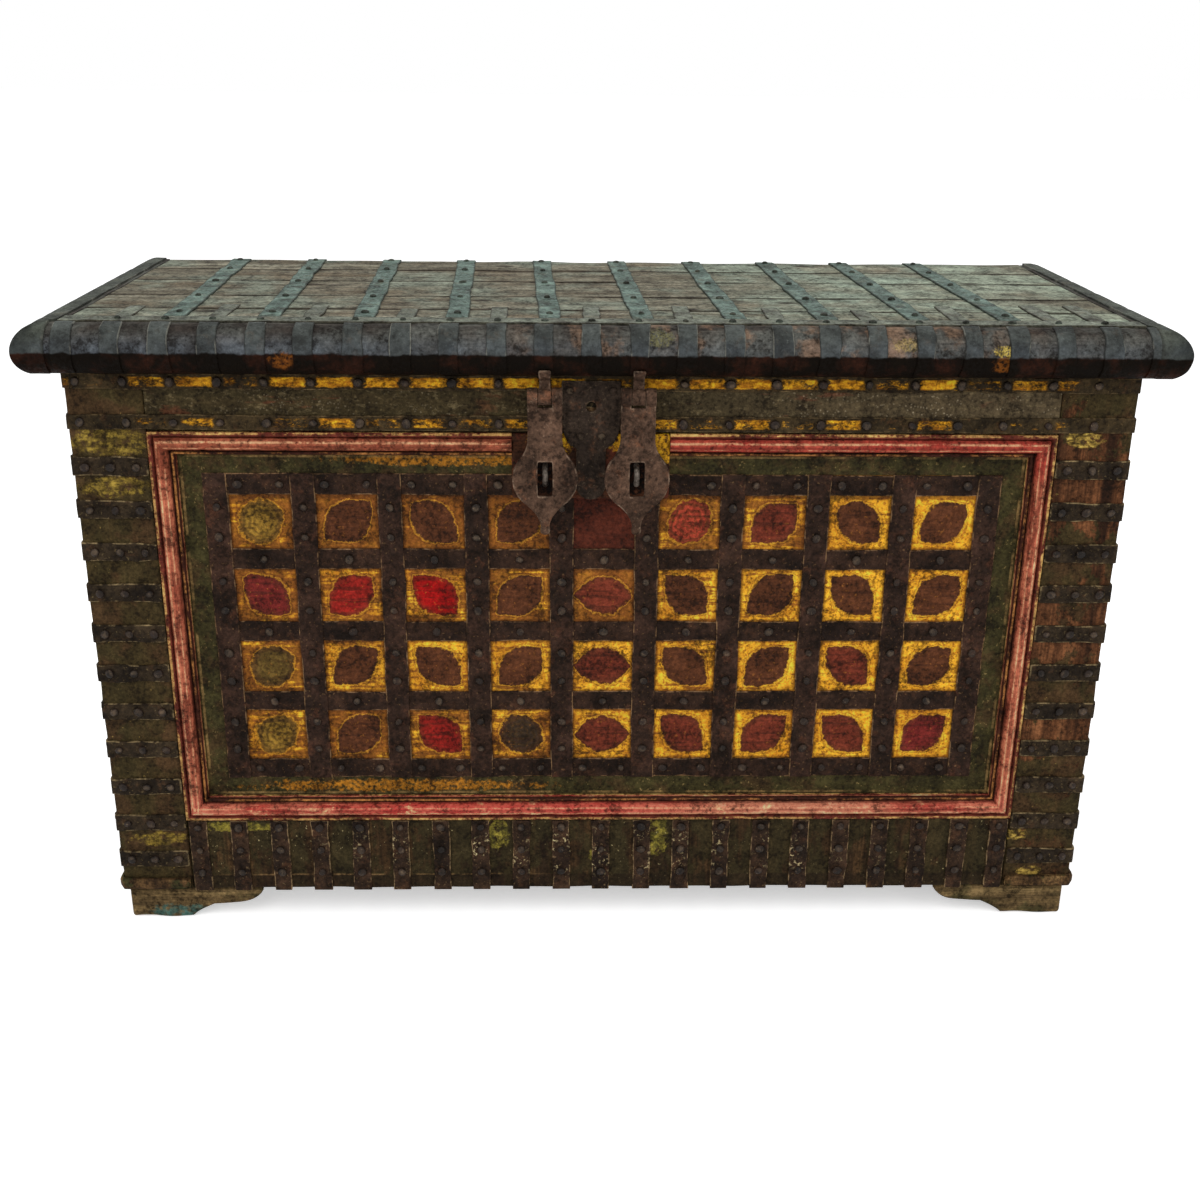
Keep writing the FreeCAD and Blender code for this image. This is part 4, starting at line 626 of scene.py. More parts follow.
def plank(low, high, along, face, cracks, seed, worn=BOARD_WORN, dents=BOARD_DENTS):
    """A plank with drying cracks: a rounded rectangle carried along its length, whose outer face has
    a narrow V at each crack. A crack wanders a little, and fades out at both its ends."""
    draw = np.random.default_rng(seed)
    run, thick = "xyz".index(along), int(np.argmax(np.abs(face)))
    cross = 3 - run - thick
    way, across = np.eye(3)[run], np.eye(3)[cross]
    middle, size = (low + high) / 2, high - low
    start = middle - way * size[run] / 2
    path = straight(start, way, size[run], BOARD_STEP, worn)
    slots = np.arange(cracks)
    places = 2 * (slots + 0.5 + draw.uniform(-0.22, 0.22, cracks)) / cracks - 1
    gap = CRACK_SHARE / cracks
    flats = np.sort(np.concatenate([places, places - gap, places + gap,
                                    2 * np.arange(1, cracks) / cracks - 1]))
    points, edge, closed = bar(path, across, face, size[cross] / 2, size[thick] / 2, -size[thick] / 2, worn,
                               flats, dents=dents, dent_length=0.12, seed=seed)
    share = np.linspace(0, 1, len(path))[:, None]
    begin, length = draw.uniform(-0.2, 0.7, cracks), draw.uniform(0.25, 0.8, cracks)
    window = np.clip(np.minimum(share - begin, begin + length - share) / CRACK_FADE, 0, 1)
    bottom = CORNER_TURNS + 1 + np.searchsorted(flats, places)
    points[:, bottom] -= (CRACK_DEPTH * window)[..., None] * np.asarray(face, float)
    wander = CRACK_WANDER * np.sin(share * draw.uniform(12, 26, cracks) + draw.uniform(0, 6, cracks))
    for shift in (-1, 0, 1):
        points[:, bottom + shift] += wander[..., None] * across
    edge = edge.copy()
    edge[:, bottom] = -window
    return points, edge, closed


def wall_planks(node, along, face, cracks, seed):
    """The planks of one wall, one above another."""
    low, high = corners_of(node)
    lines = np.linspace(low[2], high[2], WALL_BOARDS + 1)
    return [plank(np.array([low[0], low[1], lines[step]]), np.array([high[0], high[1], lines[step + 1]]),
                  along, face, cracks, seed + step) for step in range(WALL_BOARDS)]


def wall_wood(name, along, inner_x, inner_y):
    """Old brown planks, blackened in the cracks; outside the given lines they keep the rubbed remains
    of dark green paint, and inside them they are bare."""
    wood, colour, height = old_wood(name, along, paint(38, 27, 18), paint(78, 54, 34), paint(112, 82, 54))
    kept = wood.blots(0.46, 0.54, 9.0, detail=8.0, rough=0.72)
    coat = wood.mix(wood.noise(50.0), paint(40, 42, 26), paint(66, 68, 40))
    x, y, z = wood.axes()
    outside = wood.sum("MAXIMUM", wood.step(wood.sum("ABSOLUTE", x), inner_x, inner_x + 0.002),
                       wood.step(y, inner_y, inner_y + 0.002))
    colour = wood.mix(wood.times(kept, outside, 0.75), colour, coat)
    colour = wood.mix(wood.step(wood.mark("edge"), -0.05, -0.5), colour, paint(16, 11, 8))
    return wood.shade(colour, 0.8, [(height, 0.0013), (wood.noise(110.0), 0.0005)])


inner_x = corners_of("right_side_boards")[0][0] + BOARD_WORN
inner_y = corners_of("back_boards")[0][1] + BOARD_WORN
side_finish = wall_wood("side_board_wood", "y", inner_x, inner_y)
back_boards_finish = wall_wood("back_board_wood", "x", inner_x, inner_y)
WALL_CRACKS = 2
for node, along, face, finish, seed in (("left_side_boards", "y", (-1, 0, 0), side_finish, 51),
                                        ("right_side_boards", "y", (1, 0, 0), side_finish, 61),
                                        ("back_boards", "x", (0, 1, 0), back_boards_finish, 71)):
    add_piece(node.replace("boards", "planks"), "carcase", "board_wood", [node], finish,
              *skin(wall_planks(node, along, face, WALL_CRACKS, seed)))


def dress(node, material):
    """Gives a node that keeps its own shape a finish."""
    for slot in frame["nodes"][node].material_slots:
        slot.material = material


dress("floor_boards", back_boards_finish)


# Frame moulding: planed lengths with a fillet, a round bead and a small inner bead, mitred round the
# panel and nailed on. Painted red, worn through to a cream ground along every ridge; the pale lines
# along the bead are also a painted highlight.
MOULDING_WIDTH = 0.030
MOULDING_WORN = 0.0009
FILLET_SHARE = 0.16
BEAD_SHARES = (0.23, 0.77)
QUIRK_SHARE = 0.8
CHIP_DEPTH = 0.0016
DENT_DEPTH = 0.0005


def bead_profile(share):
    """Height of the moulding, as a share, over its width: a flat fillet, a slope, half a round bead,
    a quirk and a quarter-round inner bead."""
    first, last = BEAD_SHARES
    bead = 0.6 + 0.4 * np.sqrt(np.clip(1 - ((share - (first + last) / 2) / ((last - first) / 2)) ** 2, 0, 1))
    inner = 0.36 + 0.16 * np.sqrt(np.clip(1 - ((share - 0.9) / 0.1) ** 2, 0, 1))
    slope = 0.77 - 0.17 * (share - FILLET_SHARE) / (first - FILLET_SHARE)
    return np.select([share < FILLET_SHARE, share < first, share <= last, share < QUIRK_SHARE],
                     [0.77, slope, bead, 0.42], inner)


MOULDING_SHARES = np.concatenate([[0, 0.03, 0.08, 0.13, 0.159, 0.18, 0.21], np.linspace(0.23, 0.77, 15),
                                  [0.775, 0.797, 0.8], np.linspace(0.81, 1, 6)])


def moulding_run(start, run, inward, length, mitres, rise, seed):
    """A length of moulding: the profile carried along its run, each point of it held back at a mitred
    end by as much as it lies in from the outer edge. Dents and chips lower it a little."""
    along = np.linspace(0, 1, int(length / 0.008))[:, None]
    across = MOULDING_SHARES * MOULDING_WIDTH
    place = (across * mitres[0]) * (1 - along) + (length - across * mitres[1]) * along
    level = np.broadcast_to(bead_profile(MOULDING_SHARES) * rise, place.shape)
    flat = np.asarray(start, float) + place[..., None] * run + across[None, :, None] * inward
    dents = (0.5 + 0.5 * ripple(flat, 0.12, seed + 1)) * DENT_DEPTH
    chips = np.clip(ripple(flat, 0.03, seed), 0, 1) ** 2 * CHIP_DEPTH + dents
    top = flat + (level - chips)[..., None] * np.array([0, -1, 0])
    base = flat + np.array([0, MOULDING_WORN, 0])
    mark = np.concatenate([MOULDING_SHARES, -np.ones(len(MOULDING_SHARES))])
    return np.concatenate([top, base[:, ::-1]], 1), mark, False


def mould_paint(name, along):
    """Old paint on a moulding, told apart by how far across it lies: a cream line along the outer edge,
    a dark red hollow, a salmon bead with pale lines along it (worn paint and a painted highlight), a dark
    quirk and a thin ochre line."""
    mould = Finish(name)
    across = mould.mark("edge")
    x, y, z = mould.axes()
    streak = mould.noise(1.0, mould.stretched(along), 6.0, 0.7)
    fine = mould.noise(170.0, detail=4.0, rough=0.7)
    wear = mould.sum("ADD", mould.times(streak, 0.65), mould.times(fine, 0.35))
    foot = mould.step(z, 0.21, 0.18)
    head = mould.step(z, 0.62, 0.65)
    red = mould.mix(mould.step(streak, 0.36, 0.62), paint(106, 47, 34), paint(176, 98, 72))
    lower = mould.mix(mould.step(streak, 0.36, 0.62), paint(146, 52, 44), paint(206, 114, 90))
    red = mould.over(red, foot, 0.85, lower)
    red = mould.over(red, head, 0.5, paint(112, 58, 38))
    red = mould.mix(mould.times(head, mould.step(x, 0.0, 0.1), 0.6), red, paint(150, 44, 40))
    red = mould.mix(mould.times(foot, mould.band(x, -0.34, 0.08, 0.1), 0.55), red, paint(188, 54, 52))
    red = mould.mix(mould.times(foot, mould.band(x, 0.14, 0.36, 0.08), 0.45), red, paint(206, 138, 106))
    pale = mould.mix(fine, paint(182, 118, 84), paint(218, 168, 126))
    # Pale lines along the bead: worn paint and a painted highlight.
    ridge = mould.times(mould.band(across, 0.34, 0.42, 0.03), mould.step(wear, 0.4, 0.52))
    second = mould.times(mould.band(across, 0.62, 0.66, 0.02), mould.step(wear, 0.44, 0.56))
    colour = mould.over(red, mould.band(across, 0.5, 0.58, 0.04), 0.5, paint(76, 32, 24))
    colour = mould.over(colour, mould.sum("MAXIMUM", ridge, second), 0.85, pale)
    chalk = mould.times(mould.blots(0.56, 0.64, 17.0, detail=6.0, rough=0.7), mould.step(wear, 0.44, 0.52))
    colour = mould.mix(mould.times(chalk, foot, 0.8), colour, paint(210, 172, 122))
    hollow = mould.mix(streak, paint(58, 24, 18), paint(108, 48, 36))
    colour = mould.mix(mould.step(across, 0.27, 0.22), colour, hollow)
    colour = mould.mix(mould.step(across, 0.75, 0.79), colour, paint(52, 26, 18))
    inner = mould.times(mould.band(across, 0.86, 0.95, 0.02), mould.step(wear, 0.46, 0.56))
    colour = mould.over(colour, inner, 0.8, paint(166, 112, 60))
    outer = mould.times(mould.step(across, 0.12, 0.08), mould.step(wear, 0.45, 0.55))
    colour = mould.over(colour, outer, 0.85, mould.mix(fine, paint(150, 104, 60), paint(204, 164, 96)))
    colour = mould.over(colour, mould.step(fine, 0.4, 0.34), 0.6, paint(62, 30, 22))
    return mould.shade(colour, 0.62, [(streak, 0.0007), (fine, 0.0004)])


level_mould_finish = mould_paint("level_moulding_paint", (14, 110, 110))
upright_mould_finish = mould_paint("upright_moulding_paint", (110, 110, 14))
panel_face = corners_of("front_panel")[0][1]
for number, (node, run, inward, mitres) in enumerate((
        ("moulding_top_left", (1, 0, 0), (0, 0, -1), (1, 0)),
        ("moulding_top_right", (1, 0, 0), (0, 0, -1), (0, 1)),
        ("moulding_bottom", (1, 0, 0), (0, 0, 1), (1, 1)),
        ("moulding_left", (0, 0, 1), (1, 0, 0), (1, 1)),
        ("moulding_right", (0, 0, 1), (-1, 0, 0), (1, 1)))):
    low, high = corners_of(node)
    run, inward = np.array(run, float), np.array(inward, float)
    start = np.where(inward < 0, high, low) * np.array([1, 0, 1]) + np.array([0, panel_face, 0])
    length = float((high - low) @ run)
    block = moulding_run(start, run, inward, length, mitres, panel_face - low[1], 81 + number)
    add_piece(node.replace("moulding", "frame_moulding"), "carcase", "moulding_paint", [node],
              upright_mould_finish if run[2] else level_mould_finish, *skin([block]), sharp=50)


# Base beads: a small rounded strip nailed round the foot of each side and returned across the post.
# Bare worn wood with a trace of the olive coat.
BEAD_BEND = 0.004
BEAD_WORN = 0.0045
BEAD_SUNK = 0.001


def even_line(line, step):
    """Points at even steps along a line in a plane, and the unit normal on the left of each."""
    gone = np.concatenate([[0], np.cumsum(np.linalg.norm(np.diff(line, axis=0), axis=1))])
    spots = np.linspace(0, gone[-1], int(gone[-1] / step) + 2)
    points = np.stack([np.interp(spots, gone, line[:, 0]), np.interp(spots, gone, line[:, 1])], -1)
    way = np.gradient(points, axis=0)
    way /= np.linalg.norm(way, axis=1, keepdims=True)
    return points, np.stack([-way[:, 1], way[:, 0]], -1)


def rounded_line(corners, radius, step):
    """A line through corners in a plane, with every inner corner rounded to a radius, as evenly spaced
    points and the unit normal on the left of each."""
    corners = np.asarray(corners, float)
    ways = np.diff(corners, axis=0)
    ways /= np.linalg.norm(ways, axis=1, keepdims=True)
    pieces = [corners[:1]]
    for before, after, corner in zip(ways[:-1], ways[1:], corners[1:-1]):
        turn = math.atan2(before[0] * after[1] - before[1] * after[0], before @ after)
        back = radius * math.tan(abs(turn) / 2)
        left = np.array([-before[1], before[0]]) * np.sign(turn)
        angle = np.linspace(0, abs(turn), 9)[:, None]
        start = corner - before * back
        pieces.append(start + radius * (np.sin(angle) * before + (1 - np.cos(angle)) * left))
    return even_line(np.concatenate(pieces + [corners[-1:]]), step)


def raise_line(line, normal, axes, fixed):
    """A flat line and its normals set into space: axes are the two it runs in, the third is fixed."""
    path, out = np.zeros((len(line), 3)), np.zeros((len(line), 3))
    path[:, list(axes)], out[:, list(axes)] = line, normal
    path[:, 3 - sum(axes)] = fixed
    return path, out


bead, colour, height = old_wood("base_bead_wood", "y", paint(42, 30, 20), paint(92, 68, 42),
                                paint(138, 110, 70))
kept = bead.blots(0.5, 0.56, 22.0, detail=7.0, rough=0.7)
colour = bead.over(colour, kept, 0.8, paint(52, 52, 30))
bead_finish = bead.shade(colour, 0.75, [(height, 0.001), (bead.noise(120.0), 0.0005)])
front_low, front_high = corners_of("front_left_post")
back_y = corners_of("back_left_post")[1][1]
half_width = -front_low[0]
for label, side in (("left", 1), ("right", -1)):
    low, high = corners_of("%s_base_bead" % label)
    inner = min(abs(low[0]), abs(high[0]))
    line, normal = rounded_line([(-inner, front_y), (-half_width, front_y), (-half_width, back_y)],
                                BEAD_BEND, 0.006)
    path, out = raise_line(line, normal, (0, 1), (low[2] + high[2]) / 2)
    flip = np.array([side, 1, 1])
    block = bar(path * flip, (0, 0, 1), out * flip, (high[2] - low[2]) / 2, front_y - low[1], -BEAD_SUNK,
                BEAD_WORN, 3, dents=0.0009, dent_length=0.05, seed=91)
    add_piece("%s_foot_bead" % label, "carcase", "moulding_paint", ["%s_base_bead" % label], bead_finish,
              *skin([block]))


# Iron grid on the panel: level straps nailed to the boards, and uprights laid over them with a small
# joggle at each crossing. Hand-forged strip with uneven edges, dark brown, its edges made lighter as
# rubbed wear and a painted highlight.
IRON_WORN = 0.0008
SUNK = 0.0012
STRAP_FLATS = 3
DULL_METAL = 0.1
BARE_METAL = 0.2


def strap(path, across, out, width, thick, seed, wavy=0.0006, hammered=0.0004, step_out=0.0):
    """Forged strip: a thin rectangle carried along a path. Its edges wander by a ripple, its face steps
    out and is lowered by hammer marks, and its underside is sunk a little into the wood."""
    path = np.asarray(path, float)
    half = width / 2 + wavy * ripple(path, 0.045, seed) - wavy * 0.5
    shift = wavy * ripple(path, 0.16, seed + 1)
    path = path + shift[:, None] * np.broadcast_to(across, path.shape)
    return bar(path, across, out, half, thick + step_out, -SUNK, IRON_WORN, STRAP_FLATS, turns=3,
               dents=hammered, dent_length=0.016, seed=seed)


def forged_iron(name, dark, mid, rust, bright, rub_and_highlight):
    """Dark forged iron: cloudy brown-black scale, rust blooms, pits, and edges made lighter, as rubbed wear
    and a painted highlight. It gives the finish, its colour, its roughness and its bumps."""
    iron = Finish(name)
    cloud = iron.noise(22.0, detail=6.0, rough=0.65)
    grit = iron.noise(260.0, detail=3.0)
    bloom = iron.noise(42.0, detail=7.0, rough=0.7)
    colour = iron.mix(iron.step(cloud, 0.35, 0.66), dark, mid)
    colour = iron.over(colour, iron.step(bloom, 0.54, 0.68), 0.75, rust)
    colour = iron.over(colour, iron.step(grit, 0.6, 0.72), 0.4, bright)
    # Lighter edges and nail tips, where the edge mark is high: rubbed wear and a painted highlight.
    rubbed = iron.times(iron.step(iron.mark("edge"), 0.25, 0.95), iron.blots(0.45, 0.6, 70.0, detail=6.0),
                        rub_and_highlight)
    colour = iron.mix(rubbed, colour, bright)
    bumps = [(cloud, 0.0012), (iron.noise(85.0, detail=3.0), 0.0007), (grit, 0.00025)]
    return iron, colour, iron.step(grit, -0.25, 1.0), bumps


def plain_iron(name, dark, mid, rust, bright, rub_and_highlight, metal=DULL_METAL):
    """Forged iron with nothing more on it, as a whole material."""
    iron, colour, rough, bumps = forged_iron(name, dark, mid, rust, bright, rub_and_highlight)
    return iron.shade(colour, rough, bumps, metal)


level_finish = plain_iron("grid_level_iron", paint(26, 18, 14), paint(47, 32, 24), paint(60, 39, 27),
                          paint(120, 92, 64), 0.8)
upright_finish = plain_iron("grid_upright_iron", paint(30, 21, 16), paint(53, 36, 28), paint(70, 43, 30),
                            paint(124, 96, 66), 0.7)
low, high = corners_of("grid_level_straps")
block_low, block_high = corners_of("lock_block")
level_thick = panel_face - low[1]
blocks = []
for line, z in enumerate(row_lines):
    spans = [(low[0], high[0])] if line < ROWS else [(low[0], block_low[0]), (block_high[0], high[0])]
    for begin, finish in spans:
        path = straight((begin, panel_face, z), (1, 0, 0), finish - begin, 0.006, IRON_WORN)
        blocks.append(strap(path, (0, 0, 1), (0, -1, 0), LEVEL_WIDTH, level_thick, 101 + line))
add_piece("grid_level_iron", "carcase", "band_iron", ["grid_level_straps"], level_finish, *skin(blocks))

low, high = corners_of("grid_upright_straps")
upright_thick = panel_face - low[1]
JOGGLE = 0.0007
blocks = []
for column, x in enumerate(column_lines):
    under_block = block_low[0] - UPRIGHT_WIDTH / 2 < x < block_high[0] + UPRIGHT_WIDTH / 2
    top = block_low[2] if under_block else high[2]
    path = straight((x, panel_face, low[2]), (0, 0, 1), top - low[2], 0.006, IRON_WORN)
    apart = np.abs((path[:, 2] - first_z + row_pitch / 2) % row_pitch - row_pitch / 2)
    dip = -JOGGLE * np.clip((apart - LEVEL_WIDTH / 2) / 0.012, 0, 1)
    blocks.append(strap(path, (1, 0, 0), (0, -1, 0), UPRIGHT_WIDTH, upright_thick, 121 + column,
                        step_out=dip))
add_piece("grid_upright_iron", "carcase", "band_iron", ["grid_upright_straps"], upright_finish, *skin(blocks))


# Nail heads of the grid: hand-made, domed and a little skewed, driven through the straps. Two to a
# bay on the uprights, one on each inner level strap and two along the top and bottom ones.
STUD_RADIUS = 0.006
STUD_HEIGHT = 0.0045
STUD_SIDES = 10
DOME_RADII = np.array([0.98, 1.0, 0.86, 0.5])
DOME_LEVELS = np.array([-0.3, 0.16, 0.66, 0.93])


def points_at(x, y, z):
    """Points from three coordinates, each a number or an array, spread over one another."""
    return np.stack(np.broadcast_arrays(x, y, z), -1).reshape(-1, 3)


def nail_heads(groups, seed, radius=STUD_RADIUS, height=STUD_HEIGHT):
    """Domed heads on groups of places, each group with the way it faces: rings of points whose radius
    shrinks as they rise, closed by one point at the tip and a flat below. Each head has its own size,
    squash, tilt and turn."""
    draw = np.random.default_rng(seed)
    places = np.concatenate([spots for spots, way in groups])
    ways = np.concatenate([np.broadcast_to(np.array(way, float), spots.shape) for spots, way in groups])
    count = len(places)
    spare = np.where(np.abs(ways[:, 2:]) > 0.9, np.array([[0, 1.0, 0]]), np.array([[0, 0, 1.0]]))
    tilted = ways + 0.07 * draw.normal(size=(count, 3)).clip(-1, 1)
    tilted /= np.linalg.norm(tilted, axis=1, keepdims=True)
    first = np.cross(tilted, spare)
    first /= np.linalg.norm(first, axis=1, keepdims=True)
    second = np.cross(tilted, first)
    size = radius * draw.uniform(0.84, 1.1, (count, 1, 1))
    squash = height * draw.uniform(0.72, 0.98, (count, 1, 1))
    turn = np.linspace(0, 2 * np.pi, STUD_SIDES, endpoint=False)
    turn = turn[None, None] + draw.uniform(0, 6, (count, 1, 1))
    lumpy = 1 + 0.09 * np.sin(2 * turn + draw.uniform(0, 6, (count, 1, 1)))
    round_out = size * lumpy * DOME_RADII[None, :, None]
    rings = (places[:, None, None] + (round_out * np.cos(turn))[..., None] * first[:, None, None]
             + (round_out * np.sin(turn))[..., None] * second[:, None, None]
             + (squash * DOME_LEVELS[None, :, None])[..., None] * tilted[:, None, None])
    tips = places + squash[:, 0] * tilted
    verts = np.concatenate([rings.reshape(count, -1, 3), tips[:, None]], 1)
    spin = np.arange(STUD_SIDES)
    after = (spin + 1) % STUD_SIDES
    rows = np.arange(len(DOME_RADII) - 1)[:, None] * STUD_SIDES
    quads = np.stack([rows + spin, rows + STUD_SIDES + spin, rows + STUD_SIDES + after, rows + after],
                     -1).reshape(-1, 4)
    top = (len(DOME_RADII) - 1) * STUD_SIDES
    tip = np.stack([top + spin, np.full(STUD_SIDES, top + STUD_SIDES), top + after], -1)
    base = np.arange(count)[:, None, None] * verts.shape[1]
    faces = ((base + quads).reshape(-1, 4).tolist() + (base + tip).reshape(-1, 3).tolist()
             + (base[..., 0] + spin).tolist())
    # The edge mark rises to one at the tip, where the iron finishes paint a highlight.
    marks = np.tile(np.concatenate([np.repeat([0, 0, 0.45, 0.8], STUD_SIDES), [1]]), count)
    return verts.reshape(-1, 3), faces, marks


NAIL_ROUGH = 0.4
# Painted highlight: the rubbed colour lightens the nail tips.
iron, colour, _, bumps = forged_iron("nail_iron", paint(22, 16, 12), paint(40, 29, 22), paint(54, 36, 25),
                                     paint(112, 94, 74), 0.3)
nail_finish = iron.shade(colour, NAIL_ROUGH, bumps, gloss=0.14)
upright_face = panel_face - upright_thick + JOGGLE
level_face = panel_face - level_thick
UPRIGHT_NAIL_SHARES = np.array([0.3, 0.7])
PAIR_SHARE = 0.24
nail_z = (row_lines[:-1, None] + row_pitch * UPRIGHT_NAIL_SHARES).ravel()
nails = [(points_at(column_lines[:, None], upright_face, nail_z[None]), (0, -1, 0))]
bays = (column_lines[:-1] + column_lines[1:]) / 2
pairs = (bays[:, None] + column_pitch * np.array([-PAIR_SHARE, PAIR_SHARE])).ravel()
lock_x = (block_low[0] + block_high[0]) / 2
clear = np.abs(pairs - lock_x) > (block_high[0] - block_low[0]) / 2 + 2 * STUD_RADIUS
for line, z in enumerate(row_lines):
    level_x = bays if 0 < line < ROWS else pairs if line == 0 else pairs[clear]
    nails.append((points_at(level_x, level_face, z), (0, -1, 0)))
add_piece("grid_nails", "carcase", "nail_iron", ["grid_studs"], nail_finish, *nail_heads(nails, 141))


# Iron bands on the front posts: short straps bent round the corner on to the sides and nailed, three
# nails in front and two on the side. Darkened, with thin lighter edges: rubbed wear and a painted
# highlight.
POST_BANDS = 11
BAND_WIDTH = 0.025
BEND = 0.003
POST_FRONT_SHARES = np.array([0.17, 0.5, 0.83])
POST_SIDE_SHARES = np.array([0.3, 0.75])
band_finish = plain_iron("band_iron", paint(27, 21, 15), paint(50, 40, 28), paint(66, 46, 30),
                         paint(126, 108, 76), 0.8)
nails = []
post_inner, post_back = -front_high[0], front_high[1]
for label, side in (("left", 1), ("right", -1)):
    low, high = corners_of("%s_post_bands" % label)
    band_thick = front_y - low[1]
    band_inner = min(abs(low[0]), abs(high[0]))
    line, normal = rounded_line([(-band_inner, front_y), (-half_width, front_y), (-half_width, post_back)],
                                BEND, 0.004)
    flip = np.array([side, 1, 1])
    blocks = []
    for number, z in enumerate(np.linspace(low[2] + BAND_WIDTH / 2, high[2] - BAND_WIDTH / 2, POST_BANDS)):
        path, out = raise_line(line, normal, (0, 1), z)
        blocks.append(strap(path * flip, (0, 0, 1), out * flip, BAND_WIDTH, band_thick,
                            151 + number + 20 * side, wavy=0.0009))
        nail_x = -side * (post_inner + (half_width - post_inner) * POST_FRONT_SHARES)
        nails.append((points_at(nail_x, front_y - band_thick, z), (0, -1, 0)))
        nail_y = front_y + (post_back - front_y) * POST_SIDE_SHARES
        nails.append((points_at(-side * (half_width + band_thick), nail_y, z), (-side, 0, 0)))
    add_piece("%s_post_iron" % label, "carcase", "band_iron", ["%s_post_bands" % label], band_finish,
              *skin(blocks))
add_piece("post_nails", "carcase", "nail_iron", ["post_studs"], nail_finish, *nail_heads(nails, 191))


# Upright bands on the bottom rail: a close row of forged straps, three nails each, that hang a little
# below its edge.
RAIL_BANDS = 21
RAIL_NAIL_SHARES = np.array([0.26, 0.58, 0.9])
iron, colour, rough, bumps = forged_iron("rail_band_iron", paint(29, 21, 16), paint(56, 40, 29),
                                         paint(70, 46, 31), paint(136, 112, 80), 0.75)
x, y, z = iron.axes()
flecks = iron.times(iron.blots(0.55, 0.61, 190.0, detail=4.0), iron.blots(0.48, 0.58, 26.0, detail=4.0),
                    iron.band(x, -0.3, 0.3, 0.14), iron.band(z, 0.078, 0.135, 0.014))
colour = iron.over(colour, flecks, 0.85, paint(196, 176, 130))
rail_iron_finish = iron.shade(colour, rough, bumps, DULL_METAL)
low, high = corners_of("bottom_rail_bands")
rail_low, rail_high = corners_of("front_bottom_rail")
band_thick = front_y - low[1]
blocks, nails = [], []
for number, x in enumerate(np.linspace(low[0] + BAND_WIDTH / 2, high[0] - BAND_WIDTH / 2, RAIL_BANDS)):
    path = straight((x, front_y, low[2]), (0, 0, 1), high[2] - low[2], 0.004, IRON_WORN)
    blocks.append(strap(path, (1, 0, 0), (0, -1, 0), BAND_WIDTH, band_thick, 201 + number, wavy=0.0009))
    nail_z = rail_low[2] + (rail_high[2] - rail_low[2]) * RAIL_NAIL_SHARES
    nails.append((points_at(x, front_y - band_thick, nail_z), (0, -1, 0)))
add_piece("bottom_rail_iron", "carcase", "band_iron", ["bottom_rail_bands"], rail_iron_finish, *skin(blocks))
add_piece("bottom_rail_nails", "carcase", "nail_iron", ["bottom_rail_studs"], nail_finish,
          *nail_heads(nails, 231))


# Frieze straps: two long iron straps round the front and sides under the lid, nailed every few
# fingers. Between the nails they still carry dashes of bright orange-yellow paint.
NOSE_BANDS = 24
low, high = corners_of("lid_nose_bands")
nose_lines = np.linspace(low[0] + BAND_WIDTH / 2, high[0] - BAND_WIDTH / 2, NOSE_BANDS)
nose_pitch = nose_lines[1] - nose_lines[0]
DASH_SHARE = 0.34
iron, colour, rough, bumps = forged_iron("frieze_iron", paint(33, 26, 16), paint(56, 45, 28),
                                         paint(70, 48, 29), paint(104, 86, 58), 0.5)
x, y, z = iron.axes()
step_x = iron.sum("ADD", iron.times(x, 1 / nose_pitch), 0.5 - nose_lines[0] / nose_pitch)
away = iron.sum("ABSOLUTE", iron.sum("SUBTRACT", iron.sum("FRACT", iron.sum("ADD", step_x, 0.5)), 0.5))
chance = iron.node("ShaderNodeTexWhiteNoise", {"W": iron.sum("FLOOR", iron.sum("ADD", step_x, 0.5))},
                   noise_dimensions="1D").outputs["Value"]
low, high = corners_of("frieze_upper_strap")
upper_z = (low[2] + high[2]) / 2
lower_z = sum(corners_of("frieze_lower_strap"))[2] / 2
on_upper = iron.step(z, (upper_z + lower_z) / 2 - 0.001, (upper_z + lower_z) / 2 + 0.001)
middle_z = iron.sum("MINIMUM", iron.sum("ABSOLUTE", iron.sum("SUBTRACT", z, upper_z)),
                    iron.sum("ABSOLUTE", iron.sum("SUBTRACT", z, lower_z)))
flake = iron.noise(110.0, iron.stretched((0.45, 1, 1)), 8.0, 0.8)
ragged = iron.sum("ADD", iron.times(flake, 0.5), -0.25)
dash = iron.times(iron.step(iron.sum("ADD", away, ragged), DASH_SHARE + 0.06, DASH_SHARE),
                  iron.step(iron.sum("ADD", middle_z, iron.times(ragged, 0.02)), 0.0068, 0.0048))
amount = iron.sum("ADD", iron.sum("ADD", iron.times(chance, 0.22), iron.times(on_upper, 0.12)), 0.14)
bare_ends = iron.sum("MAXIMUM", iron.times(iron.step(x, -0.46, -0.54), 0.12),
                     iron.times(iron.step(x, 0.56, 0.6), 0.6))
amount = iron.sum("SUBTRACT", amount, bare_ends)
dash = iron.times(dash, iron.step(iron.sum("ADD", amount, flake), 0.74, 0.88))
yellow = iron.mix(iron.blots(0.36, 0.64, 120.0, iron.stretched((0.4, 1, 1)), 6.0, 0.75),
                  paint(132, 80, 16), paint(224, 158, 34))
colour = iron.over(colour, dash, 0.95, yellow)
frieze_iron_finish = iron.shade(colour, rough, bumps + [(dash, 0.0003)], DULL_METAL)
frieze_thick = front_y - low[1]
nails = []
SIDE_NAILS = 8
lock_reach = np.ptp([corner[0] for corner in corners_of("lock_plate")]) / 2 + STUD_RADIUS
on_front = np.abs(nose_lines) < half_width - 2 * STUD_RADIUS
shown = nose_lines[on_front & (np.abs(nose_lines - lock_x) > lock_reach)]
